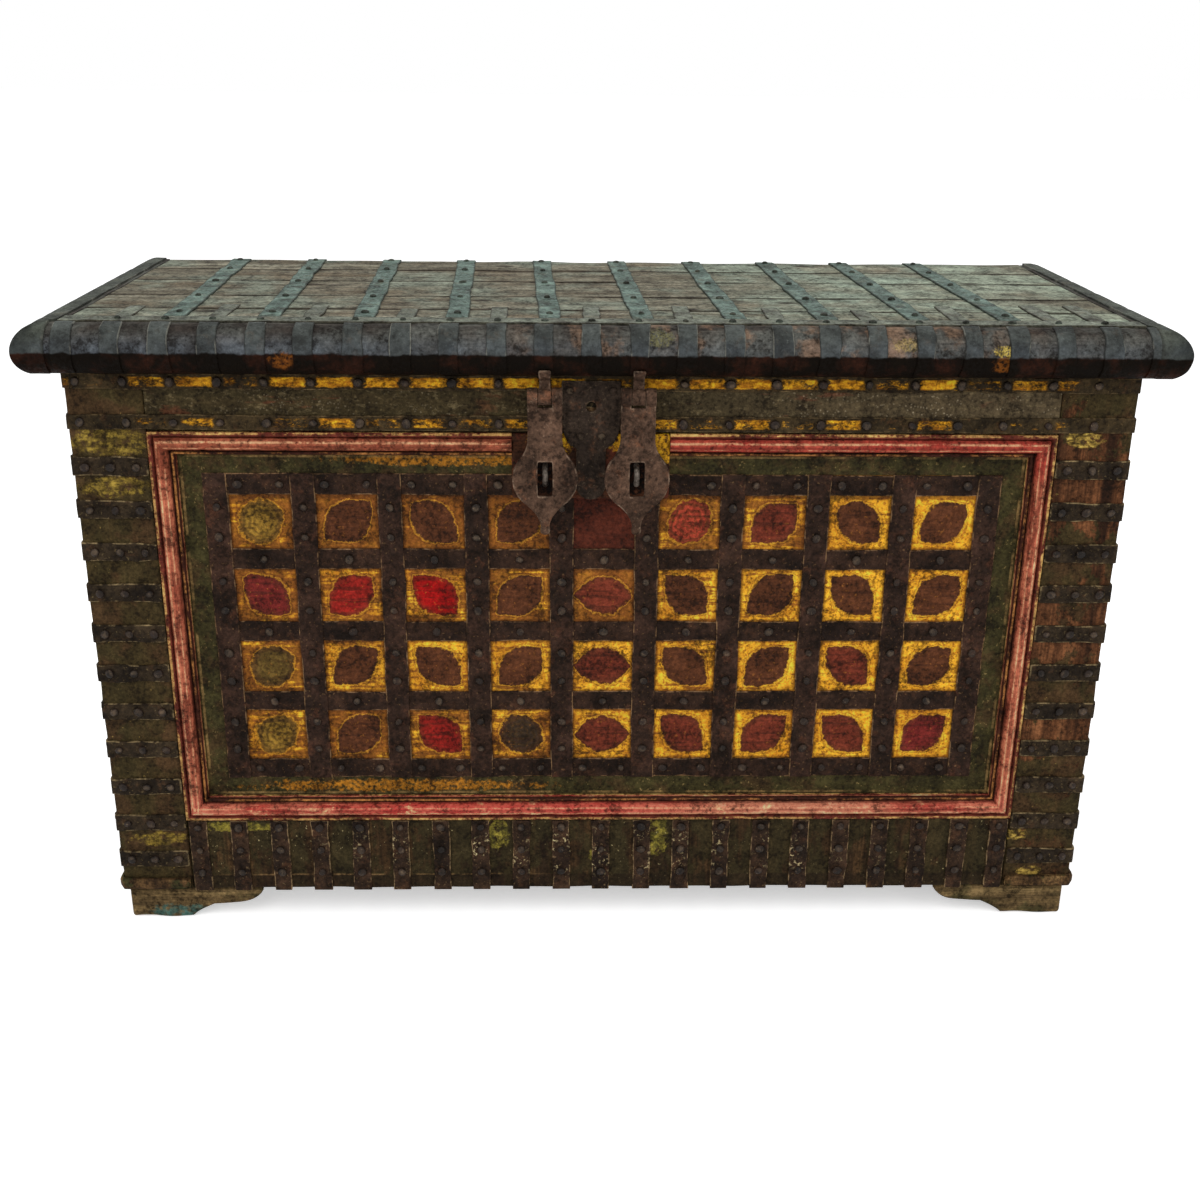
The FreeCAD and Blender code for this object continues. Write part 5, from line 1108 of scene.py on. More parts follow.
for number, (node, z) in enumerate((("frieze_lower_strap", lower_z), ("frieze_upper_strap", upper_z))):
    line, normal = rounded_line([(half_width, back_y), (half_width, front_y), (-half_width, front_y),
                                 (-half_width, back_y)], BEND, 0.006)
    path, out = raise_line(line, normal, (0, 1), z)
    block = strap(path, (0, 0, 1), out, high[2] - low[2], frieze_thick, 241 + number)
    add_piece(node.replace("strap", "iron"), "carcase", "band_iron", [node], frieze_iron_finish,
              *skin([block]))
    nails.append((points_at(shown, front_y - frieze_thick, z), (0, -1, 0)))
    side_y = front_y + (back_y - front_y) * (np.arange(SIDE_NAILS) + 0.5) / SIDE_NAILS
    for side in (-1, 1):
        nails.append((points_at(side * (half_width + frieze_thick), side_y, z), (side, 0, 0)))
add_piece("frieze_nails", "carcase", "nail_iron", ["frieze_studs"], nail_finish, *nail_heads(nails, 251))


# Lock block and staples: a block of wood let into the moulding behind the lock, with the two bent
# iron staples that the hasps close over driven into it. It keeps bright yellow paint at its top.
block, colour, height = old_wood("lock_block_paint", "x", paint(36, 22, 15), paint(76, 45, 29),
                                 paint(104, 64, 42))
kept = block.blots(0.5, 0.58, 30.0, detail=7.0, rough=0.7)
colour = block.over(colour, kept, 0.6, paint(86, 40, 28))
yellow = block.mix(block.noise(90.0, detail=5.0), paint(186, 118, 20), paint(232, 178, 44))
for centre, reach in (((lock_x - 0.045, block_low[1], 0.684), (0.034, 0.03, 0.018)),
                      ((lock_x + 0.09, block_low[1], 0.676), (0.02, 0.03, 0.022)),
                      ((lock_x + 0.03, block_low[1], 0.686), (0.026, 0.03, 0.016))):
    colour = block.over(colour, block.patch(centre, reach), 0.95, yellow)
STAPLES = ("left_staple", "right_staple")
# Painted shade: near black behind each staple, where the hasp's slot looks on to the block.
for node in STAPLES:
    low, high = corners_of(node)
    colour = block.mix(block.patch((low + high) / 2, (0.016, 0.05, 0.028), 1.2), colour, paint(16, 10, 8))
block_finish = block.shade(colour, 0.7, [(height, 0.0012), (block.noise(120.0), 0.0006)])
add_piece("lock_backing_block", "carcase", "moulding_paint", ["lock_block"], block_finish,
          *skin([level_board(block_low, block_high, 0.003, 6, 0.0012, 261, 0.006)]))
STAPLE_ROUGH = 0.42
iron, colour, _, bumps = forged_iron("staple_iron", paint(70, 62, 56), paint(128, 118, 108),
                                     paint(104, 78, 62), paint(170, 160, 148), 0.5)
staple_finish = iron.shade(colour, STAPLE_ROUGH, bumps, BARE_METAL)
for node in STAPLES:
    dress(node, staple_finish)


# Lock plate: sheet iron cut with square shoulders, a round lower lobe and a tongue, pierced by one
# round keyhole and held by four rivets. Dark brown with age.
KEYHOLE = 0.006
PLATE_HALF = 0.036
TONGUE_HALF = 0.018
OUTLINE_STEP = 0.0022
low, high = corners_of("lock_plate")
plate_x = (low[0] + high[0]) / 2
strap_low, strap_high = corners_of("frieze_lower_strap")
key_z = (strap_low[2] + high[2]) / 2
shoulder_z = strap_high[2]
waist_z = block_high[2] - TONGUE_HALF
bow = np.linspace(0, 1, 14)
lobe = np.stack([TONGUE_HALF + (PLATE_HALF - TONGUE_HALF) * np.sqrt(1 - bow ** 2),
                 shoulder_z + (waist_z - shoulder_z) * bow], -1)
turn = np.linspace(0, np.pi / 2, 12)
tongue = np.stack([TONGUE_HALF * np.cos(turn), low[2] + TONGUE_HALF - TONGUE_HALF * np.sin(turn)], -1)
right_side = np.concatenate([[(0, high[2]), (PLATE_HALF * 0.97, high[2]), (PLATE_HALF, high[2] - 0.002)],
                             lobe, tongue])


def pierced_plate(right_side, centre_x, centre_z, hole, face_y, thick, worn, seed):
    """A plate with one hole: for each point of the outline, the strip from the hole's rim out to it is
    a rounded rectangle, and these are carried once round. hole gives the rim's reach for an angle."""
    outline = even_line(right_side, OUTLINE_STEP)[0]
    outline = np.concatenate([outline, outline[-2:0:-1] * np.array([-1, 1])]) - np.array([0, centre_z])
    angle = np.arctan2(outline[:, 1], outline[:, 0])
    rim = hole(angle)[:, None] * np.stack([np.cos(angle), np.sin(angle)], -1)
    reach = np.linalg.norm(outline - rim, axis=1)
    way = (outline - rim) / reach[:, None]
    middle = (outline + rim) / 2
    path = np.stack([middle[:, 0] + centre_x, np.full(len(middle), face_y), middle[:, 1] + centre_z], -1)
    across = np.stack([way[:, 0], np.zeros(len(way)), way[:, 1]], -1)
    return bar(path, across, (0, -1, 0), reach / 2, thick, 0.0, worn, 5, turns=3, dents=0.0003,
               dent_length=0.014, seed=seed, closed=True)


plate_finish = plain_iron("lock_plate_iron", paint(32, 25, 20), paint(56, 45, 37), paint(80, 53, 37),
                          paint(104, 90, 72), 0.5, BARE_METAL)
plate_thick = high[1] - low[1]
block = pierced_plate(right_side, plate_x, key_z, lambda angle: np.full(len(angle), KEYHOLE), high[1],
                      plate_thick, IRON_WORN, 271)
add_piece("lock_face_plate", "carcase", "hasp_iron", ["lock_plate"], plate_finish, *skin([block]))
RIVET_SHARE = 0.36
rivets = [(plate_x + PLATE_HALF * RIVET_SHARE * step * wide, low[1], z)
          for step in (-1, 1)
          for wide, z in ((1, strap_low[2] - STUD_HEIGHT), (2, high[2] - 2 * STUD_RADIUS))]
add_piece("lock_rivets", "carcase", "nail_iron", ["lock_plate_rivets"], plate_finish,
          *nail_heads([(np.array(rivets), (0, -1, 0))], 281, STUD_RADIUS * 0.8, STUD_HEIGHT * 0.7))


# Hinges: two plain iron butt hinges at the back, a leaf nailed on the boards, a leaf let into the lid
# and a pin through their knuckles.
for node in ("hinge_body_leaves", "hinge_lid_leaves", "hinge_pins", "hinge_nails"):
    dress(node, band_finish)


# Lid edge pieces: thick wood along the front and both ends, mitred at the front corners and worked to
# a full round. Above, it is bare grey-brown wood between the iron, with a painted blue-grey sheen on the
# round; below the middle of the round it is painted almost black as shade.
NOSE_WIDTH = 0.048
NOSE_RADIUS = 0.031
NOSE_DENTS = 0.0012
ARRIS = 0.0006
LID_WORN = 0.0025
lid_low, lid_high = corners_of("lid_front_nose")
rim_z, lid_top = lid_low[2], lid_high[2]
arris_z = lid_top - NOSE_RADIUS
nose_under = arris_z - rim_z
NOSE_SPOTS = np.concatenate([NOSE_RADIUS * (1 - np.cos(np.linspace(0, np.pi / 2, 14))),
                             [0.036, 0.042, NOSE_WIDTH]])


def nose_run(start, run, inward, length, mitres, seed):
    """An edge piece of the lid: over its width the top and the underside are each a quarter round and
    then flat. The section is carried along the run and held back at a mitre."""
    along = np.linspace(0, 1, int(length / 0.01))[:, None]
    place = (NOSE_SPOTS * mitres[0]) * (1 - along) + (length - NOSE_SPOTS * mitres[1]) * along
    inside = np.clip(NOSE_RADIUS - NOSE_SPOTS, 0, None)
    top = np.maximum(arris_z + np.sqrt(NOSE_RADIUS ** 2 - inside ** 2), arris_z + ARRIS)
    below = np.clip(nose_under - NOSE_SPOTS, 0, None)
    base = np.minimum(arris_z - np.sqrt(nose_under ** 2 - below ** 2), arris_z - ARRIS)
    flat = np.asarray(start, float) + place[..., None] * run + NOSE_SPOTS[None, :, None] * inward
    sunk = NOSE_DENTS * np.clip(0.5 + 0.5 * ripple(flat, 0.07, seed), 0, 1)
    up = np.array([0, 0, 1.0])
    upper = flat + (np.broadcast_to(top, place.shape) - sunk)[..., None] * up
    under = flat + np.broadcast_to(base, place.shape)[..., None] * up
    mark = np.concatenate([np.zeros(len(NOSE_SPOTS)), -np.ones(len(NOSE_SPOTS))])
    return np.concatenate([upper, under[:, ::-1]], 1), mark, False


def underside_shade_share(finish):
    """Painted shade: one below the middle of the lid's edge, nought above, a short ragged change between."""
    z = finish.axes()[2]
    ragged = finish.times(finish.sum("SUBTRACT", finish.noise(60.0, detail=5.0), 0.5), 0.008)
    return finish.step(finish.sum("ADD", z, ragged), arris_z + 0.002, arris_z - 0.001)


def sheen_share(finish):
    """Painted sheen on the round: nought at the flat top, most just above the middle of the edge."""
    z = finish.axes()[2]
    return finish.times(finish.step(z, lid_top - 0.004, arris_z + 0.006), 0.4)


def sheen_colour(finish):
    """The colour of the painted sheen: a dull blue-grey, in patches."""
    return finish.mix(finish.blots(0.36, 0.64, 26.0, detail=5.0), paint(46, 48, 52), paint(76, 82, 88))


def underside_shade_colour(finish):
    """The colour of the painted shade: black-brown, redder in blots."""
    return finish.mix(finish.blots(0.45, 0.68, 24.0, detail=6.0), paint(10, 6, 3), paint(40, 20, 12))


def nose_wood(name, along):
    """Worn grey-brown wood, yellow flecks at one end, painted sheen on the round, painted shade below."""
    wood, colour, height = old_wood(name, along, paint(42, 37, 33), paint(76, 73, 67), paint(108, 101, 92))
    grey = wood.blots(0.45, 0.62, 12.0, detail=6.0)
    colour = wood.over(colour, grey, 0.6, paint(80, 82, 77))
    x = wood.axes()[0]
    # Painted sheen: stronger towards the left end of the lid.
    sheen_strength = wood.sum("ADD", 1.0, wood.times(wood.step(x, 0.0, -0.35), 0.9))
    colour = wood.over(colour, sheen_share(wood), sheen_strength, sheen_colour(wood))
    tan = wood.times(wood.band(x, -0.08, 0.46, 0.08), wood.blots(0.48, 0.6, 22.0, detail=6.0))
    colour = wood.over(colour, tan, 0.6, paint(118, 92, 72))
    for fleck_x, above, size, fleck_colour in ((0.352, 0.014, 0.017, paint(152, 132, 84)),
                                               (0.47, 0.008, 0.015, paint(206, 178, 80)),
                                               (0.06, 0.02, 0.02, paint(106, 102, 66))):
        fleck = wood.patch((fleck_x, lid_low[1] + 0.006, arris_z + above), (size, 0.04, size / 2), 0.4, 150.0)
        colour = wood.over(colour, fleck, 0.7, fleck_colour)
    # Painted shade: the underside below the middle of the round is made almost black.
    colour = wood.mix(underside_shade_share(wood), colour, underside_shade_colour(wood))
    for ember_x in (-0.378, 0.47):
        ember = wood.patch((ember_x, lid_low[1], arris_z - 0.008), (0.018, 0.03, 0.011))
        colour = wood.over(colour, ember, 0.55, paint(112, 64, 20))
    return wood.shade(colour, 0.66, [(height, 0.001), (wood.noise(120.0), 0.0006)], gloss=0.04)


front_nose_finish = nose_wood("lid_edge_wood", "x")
side_nose_finish = nose_wood("lid_end_wood", "y")
for node, run, inward, mitres, finish in (
        ("lid_front_nose", (1, 0, 0), (0, 1, 0), (1, 1), front_nose_finish),
        ("lid_left_nose", (0, 1, 0), (1, 0, 0), (1, 0), side_nose_finish),
        ("lid_right_nose", (0, 1, 0), (-1, 0, 0), (1, 0), side_nose_finish)):
    low, high = corners_of(node)
    run, inward = np.array(run, float), np.array(inward, float)
    start = np.where(inward < 0, high, low) * np.array([1, 1, 0])
    block = nose_run(start, run, inward, float((high - low) @ run), mitres, 301)
    add_piece(node.replace("nose", "edge"), "lid", "lid_wood", [node], finish, *skin([block]), sharp=35)


# Lid boards and back rail: four weathered boards laid along the chest inside the edge pieces, silvery
# and grey-green, split along the grain, with the back rail behind and battens below.
def lid_wood(name):
    """Weathered grey-brown wood: long silver streaks, a green cast, black cracks, knots and stains."""
    wood, colour, height = old_wood(name, "x", paint(78, 71, 58), paint(114, 110, 95), paint(142, 139, 121))
    green = wood.blots(0.46, 0.62, 8.0, detail=6.0)
    x, y, z = wood.axes()
    green = wood.times(green, wood.sum("ADD", 0.45, wood.times(wood.step(x, 0.0, 0.5), 0.4)))
    colour = wood.mix(green, colour, paint(116, 129, 116))
    pale = wood.times(wood.step(x, 0.0, 0.5), wood.blots(0.3, 0.6, 6.0, detail=6.0))
    colour = wood.over(colour, pale, 0.7, paint(134, 145, 128))
    brown = wood.blots(0.5, 0.66, 5.0, wood.stretched((1, 2.5, 1)), 6.0)
    colour = wood.over(colour, brown, 0.45, paint(88, 72, 54))
    knots = wood.step(wood.cells(7.0, wood.stretched((1, 2.2, 1))), 0.14, 0.07)
    colour = wood.over(colour, knots, 0.85, paint(34, 25, 18))
    lines = wood.noise(1.0, wood.stretched((1.4, 150, 150)), 4.0, 0.6)
    colour = wood.over(colour, wood.step(lines, 0.4, 0.3), 0.4, paint(58, 50, 39))
    colour = wood.mix(wood.step(wood.mark("edge"), -0.05, -0.5), colour, paint(18, 13, 10))
    colour = wood.over(colour, wood.step(wood.mark("edge"), 0.3, 0.9), 0.8, paint(38, 31, 24))
    bare = wood.step(z, lid_top - 0.006, lid_top - 0.01)
    inner = wood.mix(wood.step(height, 0.3, 0.7), paint(36, 24, 16), paint(84, 59, 37))
    inner = wood.over(inner, wood.step(lines, 0.5, 0.34), 0.7, paint(28, 18, 12))
    colour = wood.over(colour, bare, 0.95, inner)
    return wood.shade(colour, 0.78, [(height, 0.0014), (lines, 0.0012), (wood.noise(120.0), 0.0005)])


lid_finish = lid_wood("lid_board_wood")
LID_DENTS = 0.0014
for number, cracks in enumerate((3, 3, 4, 3)):
    node = "lid_board_%d" % (number + 1)
    low, high = corners_of(node)
    add_piece(node.replace("board", "plank"), "lid", "lid_wood", [node], lid_finish,
              *skin([plank(low, high, "x", (0, 0, 1), cracks, 311 + number, LID_WORN, LID_DENTS)]))
low, high = corners_of("lid_back_rail")
add_piece("lid_back_edge", "lid", "lid_wood", ["lid_back_rail"], lid_finish,
          *skin([plank(low, high, "x", (0, 0, 1), 3, 321, LID_WORN, LID_DENTS)]))
dress("lid_battens", back_boards_finish)


# Straps over the lid top: ten long iron straps nailed across the boards and turned down over the back
# edge. They have weathered to a dull blue-green, darker along their edges.
TOP_STRAPS = 10
STRAP_LEAN = 0.018
STRAP_TURN_SHARE = 0.35
STRAP_WIDTH = 0.028
WEATHERED_METAL = 0.05


def weathered_iron(name, dark, mid, rust, edge):
    """Iron weathered on the lid: forged iron with a dull bloom, darker along its edges."""
    iron, colour, rough, bumps = forged_iron(name, dark, mid, rust, mid, 0.0)
    blot = iron.noise(38.0, iron.stretched((1, 0.6, 1)), 7.0, 0.74)
    colour = iron.over(colour, iron.step(blot, 0.52, 0.62), 0.75, edge)
    colour = iron.over(colour, iron.step(iron.mark("edge"), 0.2, 0.9), 0.8, edge)
    return iron.shade(colour, rough, bumps, WEATHERED_METAL)


strap_finish = weathered_iron("lid_strap_iron", paint(66, 80, 73), paint(97, 114, 105), paint(92, 94, 80),
                              paint(50, 55, 48))
stub_finish = weathered_iron("lid_tail_iron", paint(78, 81, 71), paint(106, 111, 98), paint(98, 93, 78),
                             paint(54, 50, 41))
low, high = corners_of("lid_top_straps")
strap_front, strap_back = low[1], corners_of("lid_back_rail")[1][1]
sheet_thick = high[2] - lid_top
strap_lines = np.linspace(low[0] + STRAP_WIDTH / 2, high[0] - STRAP_WIDTH / 2, TOP_STRAPS)
line, normal = rounded_line([(strap_front, lid_top), (strap_back, lid_top), (strap_back, low[2])], BEND,
                            0.006)
strap_share = np.linspace(0, 1, len(line))
strap_lean = STRAP_LEAN * (STRAP_TURN_SHARE - strap_share)
blocks = []
for number, x in enumerate(strap_lines):
    path, out = raise_line(line, normal, (1, 2), x + strap_lean)
    blocks.append(strap(path, (1, 0, 0), out, STRAP_WIDTH, sheet_thick, 331 + number, wavy=0.001))
add_piece("lid_top_iron", "lid", "lid_iron", ["lid_top_straps"], strap_finish, *skin(blocks))


# Short straps: the tails of the edge bands that don't run on over the top, nailed flat behind the
# scalloped strip between the long straps.
STUB_LENGTHS = np.array([0.07, 0.085, 0.08, 0.06, 0.075, 0.085, 0.09, 0.08, 0.07, 0.1, 0.11, 0.11])
STUB_BANDS = np.array([1, 3, 5, 7, 9, 11, 13, 15, 17, 19, 21, 22])
blocks = []
for number, (x, length) in enumerate(zip(nose_lines[STUB_BANDS], STUB_LENGTHS)):
    path = straight((x, strap_front + 0.002, lid_top), (0, 1, 0), length, 0.006, IRON_WORN)
    blocks.append(strap(path, (1, 0, 0), (0, 0, 1), BAND_WIDTH * 0.9, sheet_thick * 0.7, 351 + number,
                        wavy=0.001))
add_piece("lid_strap_tails", "lid", "lid_iron", [], stub_finish, *skin(blocks))


# Iron over the lid ends and bands round its front edge: sheet iron beaten over the round, the bands
# from the flat top round and under. Its blue-grey on the round is a painted sheen; below the round it
# is painted almost black as shade, and over the lid's round ends it is painted darker as shade.
END_FLAT = 0.012
SHEET_DENTS = 0.0009


def edge_iron(name, dark, mid, rust, bright):
    """Lid edge iron: forged iron with painted sheen on the round and painted shade below and at the ends."""
    iron, colour, rough, bumps = forged_iron(name, dark, mid, rust, bright, 0.3)
    colour = iron.mix(sheen_share(iron), colour, sheen_colour(iron))
    x = iron.axes()[0]
    # Painted shade: darker over the round ends of the lid.
    corner = iron.step(iron.sum("ABSOLUTE", x), lid_high[0] - 0.034, lid_high[0])
    colour = iron.over(colour, corner, 0.65, paint(30, 32, 32))
    outline = iron.mix(iron.blots(0.5, 0.58, 14.0), paint(32, 31, 28), paint(116, 114, 104))
    colour = iron.over(colour, iron.step(iron.mark("edge"), 0.3, 0.95), 0.55, outline)
    return iron.shade(iron.mix(underside_shade_share(iron), colour, underside_shade_colour(iron)), rough, bumps, gloss=0.04,
                      grime=0.4)


edge_finish = edge_iron("lid_edge_iron", paint(46, 48, 46), paint(74, 78, 75), paint(70, 66, 59),
                        paint(98, 102, 98))
end_finish = edge_iron("lid_end_iron", paint(46, 49, 44), paint(76, 80, 72), paint(72, 68, 58),
                       paint(98, 102, 94))
WRAP_ANGLE = np.pi / 3
CORNER_CAP = 0.037


def edge_line(flat, off):
    """Section of the lid's edge from its flat top round and under: how far in and how high, moved off
    the wood by a distance."""
    over = np.linspace(0, np.pi / 2, 16)
    under = np.linspace(0, WRAP_ANGLE, 11)[1:]
    inward = np.concatenate([NOSE_RADIUS - (NOSE_RADIUS + off) * np.sin(over),
                             nose_under - (nose_under + off) * np.cos(under)])
    upward = np.concatenate([arris_z + (NOSE_RADIUS + off) * np.cos(over),
                             arris_z - (nose_under + off) * np.sin(under)])
    flats = NOSE_RADIUS + np.linspace(flat, 0, 4)[:-1] if flat else np.zeros(0)
    return np.concatenate([flats, inward]), np.concatenate([np.full(len(flats), lid_top + off), upward])


def edge_sheet(start, run, inward, length, mitre, flat, seed):
    """Sheet beaten over the lid's edge: the section of the edge, a sheet thick, carried along a run that
    starts at a mitre. Hammering lowers its outer face."""
    rows = np.linspace(0, 1, int(length / 0.008) + 2)[:, None]
    sides = []
    for off in (sheet_thick, -SUNK):
        into, up = edge_line(flat, off)
        along = into * mitre * (1 - rows) + length * rows
        points = np.asarray(start, float) + along[..., None] * run + into[:, None] * inward
        sides.append(points + up[:, None] * np.array([0, 0, 1.0]))
    dent = np.clip(ripple(sides[0], 0.03, seed), 0, 1)[..., None] * SHEET_DENTS
    sides[0] = sides[0] + dent * (sides[1] - sides[0]) / (sheet_thick + SUNK)
    mark = np.zeros(sides[0].shape[:2])
    mark[-1], mark[:, 0], mark[:, -1] = 1, 1, 1
    return np.concatenate([sides[0], sides[1][:, ::-1]], 1), np.concatenate([mark, mark], 1), False


low, high = corners_of("lid_end_straps")
lid_front, lid_half = lid_low[1], lid_high[0]
blocks = []
for side in (-1.0, 1.0):
    corner = np.array([side * lid_half, lid_front, 0])
    along_x, along_y = np.array([-side, 0, 0]), np.array([0, 1.0, 0])
    blocks.append(edge_sheet(corner, along_y, along_x, high[1] - lid_front, 1, END_FLAT, 361 + int(side)))
    blocks.append(edge_sheet(corner, along_x, along_y, CORNER_CAP, 1, 0, 364 + int(side)))
add_piece("lid_end_iron", "lid", "lid_iron", ["lid_end_straps"], end_finish, *skin(blocks), sharp=30)

low, high = corners_of("lid_nose_bands")
line, normal = even_line(np.stack(edge_line(0, 0), -1), 0.0025)
path, out = raise_line(np.stack([lid_front + line[:, 0], line[:, 1]], -1), -normal, (1, 2), 0)
blocks = []
for number, x in enumerate(nose_lines):
    blocks.append(strap(path + np.array([x, 0, 0]), (1, 0, 0), out, BAND_WIDTH, sheet_thick, 371 + number,
                        wavy=0.0011, hammered=0.0006))
add_piece("lid_edge_bands", "lid", "lid_iron", ["lid_nose_bands"], edge_finish, *skin(blocks))


# Scalloped strip: a thin iron strip along the top behind the bands, cut in shallow bays at its front
# edge, with a nail behind each band. The lid's nails sit on it and on the long straps.
SCALLOP = 0.004
low, high = corners_of("lid_front_edging")
path = straight((low[0], 0, lid_top), (1, 0, 0), high[0] - low[0], 0.004, IRON_WORN)
bay = np.abs(np.sin(np.pi * (path[:, 0] - nose_lines[0]) / nose_pitch))
front_edge = low[1] + SCALLOP * bay
path[:, 1] = (front_edge + high[1]) / 2
block = strap(path, (0, 1, 0), (0, 0, 1), high[1] - front_edge, sheet_thick, 401)
add_piece("lid_front_strip", "lid", "lid_iron", ["lid_front_edging"], stub_finish, *skin([block]))
STRAP_NAIL_SHARES = np.array([0.06, 0.3, 0.55, 0.78, 0.96])
STRIP_NAIL_SHARE = 0.45
iron_top = lid_top + sheet_thick
nail_y = high[1] + (strap_back - high[1]) * STRAP_NAIL_SHARES
nail_lean = STRAP_LEAN * (STRAP_TURN_SHARE - (nail_y - high[1]) / (strap_back - high[1]))
nails = [(points_at(strap_lines[:, None] + nail_lean, nail_y, iron_top), (0, 0, 1))]
inner_lines = nose_lines[np.abs(nose_lines) < high[0] - BAND_WIDTH / 2]
strip_y = low[1] + (high[1] - low[1]) * STRIP_NAIL_SHARE
nails.append((points_at(inner_lines, strip_y, iron_top), (0, 0, 1)))
LID_NAIL_SHARE = 0.75
lid_nail_finish = weathered_iron("lid_nail_iron", paint(46, 50, 44), paint(70, 77, 69), paint(66, 60, 49),
                                 paint(40, 40, 34))
add_piece("lid_nails", "lid", "nail_iron", ["lid_studs"], lid_nail_finish,
          *nail_heads(nails, 411, STUD_RADIUS * LID_NAIL_SHARE, STUD_HEIGHT * LID_NAIL_SHARE))


# Hasps: heavy forged plates that hang by a pin from straps under the lid's edge. Each has two rolled
# eyes, a flared neck, a round with a square slot for its staple, and a tail with a small knob.
PLATE_WORN = 0.0011
NECK_HALF, NECK_DROP, NECK_TOP = 0.021, 0.052, 0.013
FLARE_HALF = 0.031
DISC_RADIUS, DISC_DROP = 0.040, 0.102
TAIL_ROOT, TAIL_END, TAIL_TIP = 0.024, 0.0052, 0.062
KNOB_RADIUS = 0.006
SLOT_HALF = np.array([0.009, 0.0215])
EYE_RADIUS = 0.011
EYE_GAP = 0.0085
HANGER_WIDTH, HANGER_THICK, HANGER_START = 0.016, 0.004, 0.003
HANGER_WAIST = 0.0012
HASP_THICK = 0.005
EYE_SIDES = 28
SLOT_POWER = 14


def hasp_pin(label):
    """Where the pin of a hasp lies, from its joint."""
    return [joint["pos_m"] for joint in frame["joints"] if joint["child"] == "%s_hasp" % label][0]


def rolled_eye(begin, finish, y, z, radius, seed):
    """A rolled eye: a circle carried along X, its ends rounded over."""
    path = straight((begin, y, z), (1, 0, 0), finish - begin, 0.003, PLATE_WORN)
    turn = np.linspace(0, 2 * np.pi, EYE_SIDES, endpoint=False)
    near = np.clip(np.minimum(path[:, 0] - begin, finish - path[:, 0]) / PLATE_WORN, 0, 1)
    size = radius - PLATE_WORN * (1 - np.sqrt(1 - (1 - near) ** 2))
    ring = np.stack([np.zeros(EYE_SIDES), np.cos(turn), np.sin(turn)], -1)
    points = path[:, None] + size[:, None, None] * ring
    points -= 0.0003 * (0.5 + 0.5 * ripple(points, 0.012, seed))[..., None] * ring
    return points, np.clip(1 - near[:, None], 0, 1) * np.ones(EYE_SIDES), False


def slot_rim(angle):
    """Reach of the slot's rim at an angle: a rectangle with slightly rounded corners."""
    wide = (np.abs(np.cos(angle)) / SLOT_HALF[0]) ** SLOT_POWER
    tall = (np.abs(np.sin(angle)) / SLOT_HALF[1]) ** SLOT_POWER
    return (wide + tall) ** (-1 / SLOT_POWER)


def hasp_outline(pin_z):
    """The right half of a hasp's outline from the top of its neck to its tip: a straight neck, a flare,
    part of a circle and a hollow tail."""
    centre_z = pin_z - DISC_DROP
    share = np.linspace(0, 1, 12)[:, None]
    flare_z = centre_z + math.sqrt(DISC_RADIUS ** 2 - FLARE_HALF ** 2)
    neck_z = pin_z - NECK_DROP
    flare = np.concatenate([NECK_HALF + (FLARE_HALF - NECK_HALF) * share ** 2,
                            neck_z + (flare_z - neck_z) * share], 1)
    turn = np.linspace(math.acos(FLARE_HALF / DISC_RADIUS), -math.acos(TAIL_ROOT / DISC_RADIUS), 30)
    turn = turn[1:-1, None]
    disc = np.concatenate([DISC_RADIUS * np.cos(turn), centre_z + DISC_RADIUS * np.sin(turn)], 1)
    root_z = centre_z - math.sqrt(DISC_RADIUS ** 2 - TAIL_ROOT ** 2)
    tail_z = centre_z - TAIL_TIP
    tail = np.concatenate([TAIL_END + (TAIL_ROOT - TAIL_END) * (1 - share) ** 2,
                           root_z + (tail_z - root_z) * share], 1)
    top = np.array([(0, pin_z - NECK_TOP), (NECK_HALF, pin_z - NECK_TOP)])
    return np.concatenate([top, flare, disc, tail, [(0, tail_z - 0.003)]]), centre_z


iron, colour, rough, bumps = forged_iron("hasp_iron", paint(48, 35, 27), paint(84, 63, 50),
                                         paint(102, 67, 48), paint(130, 110, 92), 0.5)
pits = iron.cells(170.0, iron.stretched((1, 1, 0.7)))
colour = iron.over(colour, iron.step(pits, 0.3, 0.12), 0.5, paint(34, 25, 22))
hasp_finish = iron.shade(colour, rough, bumps + [(pits, 0.0004)], BARE_METAL)
for label in ("left", "right"):
    node = "%s_hasp" % label
    pin_x, pin_y, pin_z = hasp_pin(label)
    outline, centre_z = hasp_outline(pin_z)
    blocks = [pierced_plate(outline, pin_x, centre_z, slot_rim, pin_y + HASP_THICK / 2, HASP_THICK,
                            PLATE_WORN, 421)]
    for side, seed in ((-1, 432), (1, 431)):
        begin, finish = sorted((pin_x + side * EYE_GAP, pin_x + side * NECK_HALF))
        blocks.append(rolled_eye(begin, finish, pin_y, pin_z, EYE_RADIUS, seed))
        cheek_x = pin_x + side * (EYE_GAP + NECK_HALF) / 2
        path = straight((cheek_x, pin_y, pin_z - NECK_TOP - 0.006), (0, 0, 1), NECK_TOP + 0.006, 0.003,
                        PLATE_WORN)
        blocks.append(bar(path, (1, 0, 0), (0, -1, 0), (NECK_HALF - EYE_GAP) / 2, HASP_THICK / 2,
                          -HASP_THICK / 2, PLATE_WORN, 3, turns=3))
    knob_z = centre_z - TAIL_TIP - KNOB_RADIUS * 0.5
    path = straight((pin_x, pin_y, knob_z - KNOB_RADIUS), (0, 0, 1), 2 * KNOB_RADIUS, 0.001, PLATE_WORN)
    swell = np.sqrt(np.clip(KNOB_RADIUS ** 2 - (path[:, 2] - knob_z) ** 2, (KNOB_RADIUS * 0.4) ** 2, None))
    blocks.append(bar(path, (1, 0, 0), (0, -1, 0), swell, swell * 0.55, -swell * 0.55, PLATE_WORN, 3,
                      turns=3))
    add_piece("%s_swinging_hasp" % label, node, "hasp_iron", [node], hasp_finish, *skin(blocks))
blocks = []
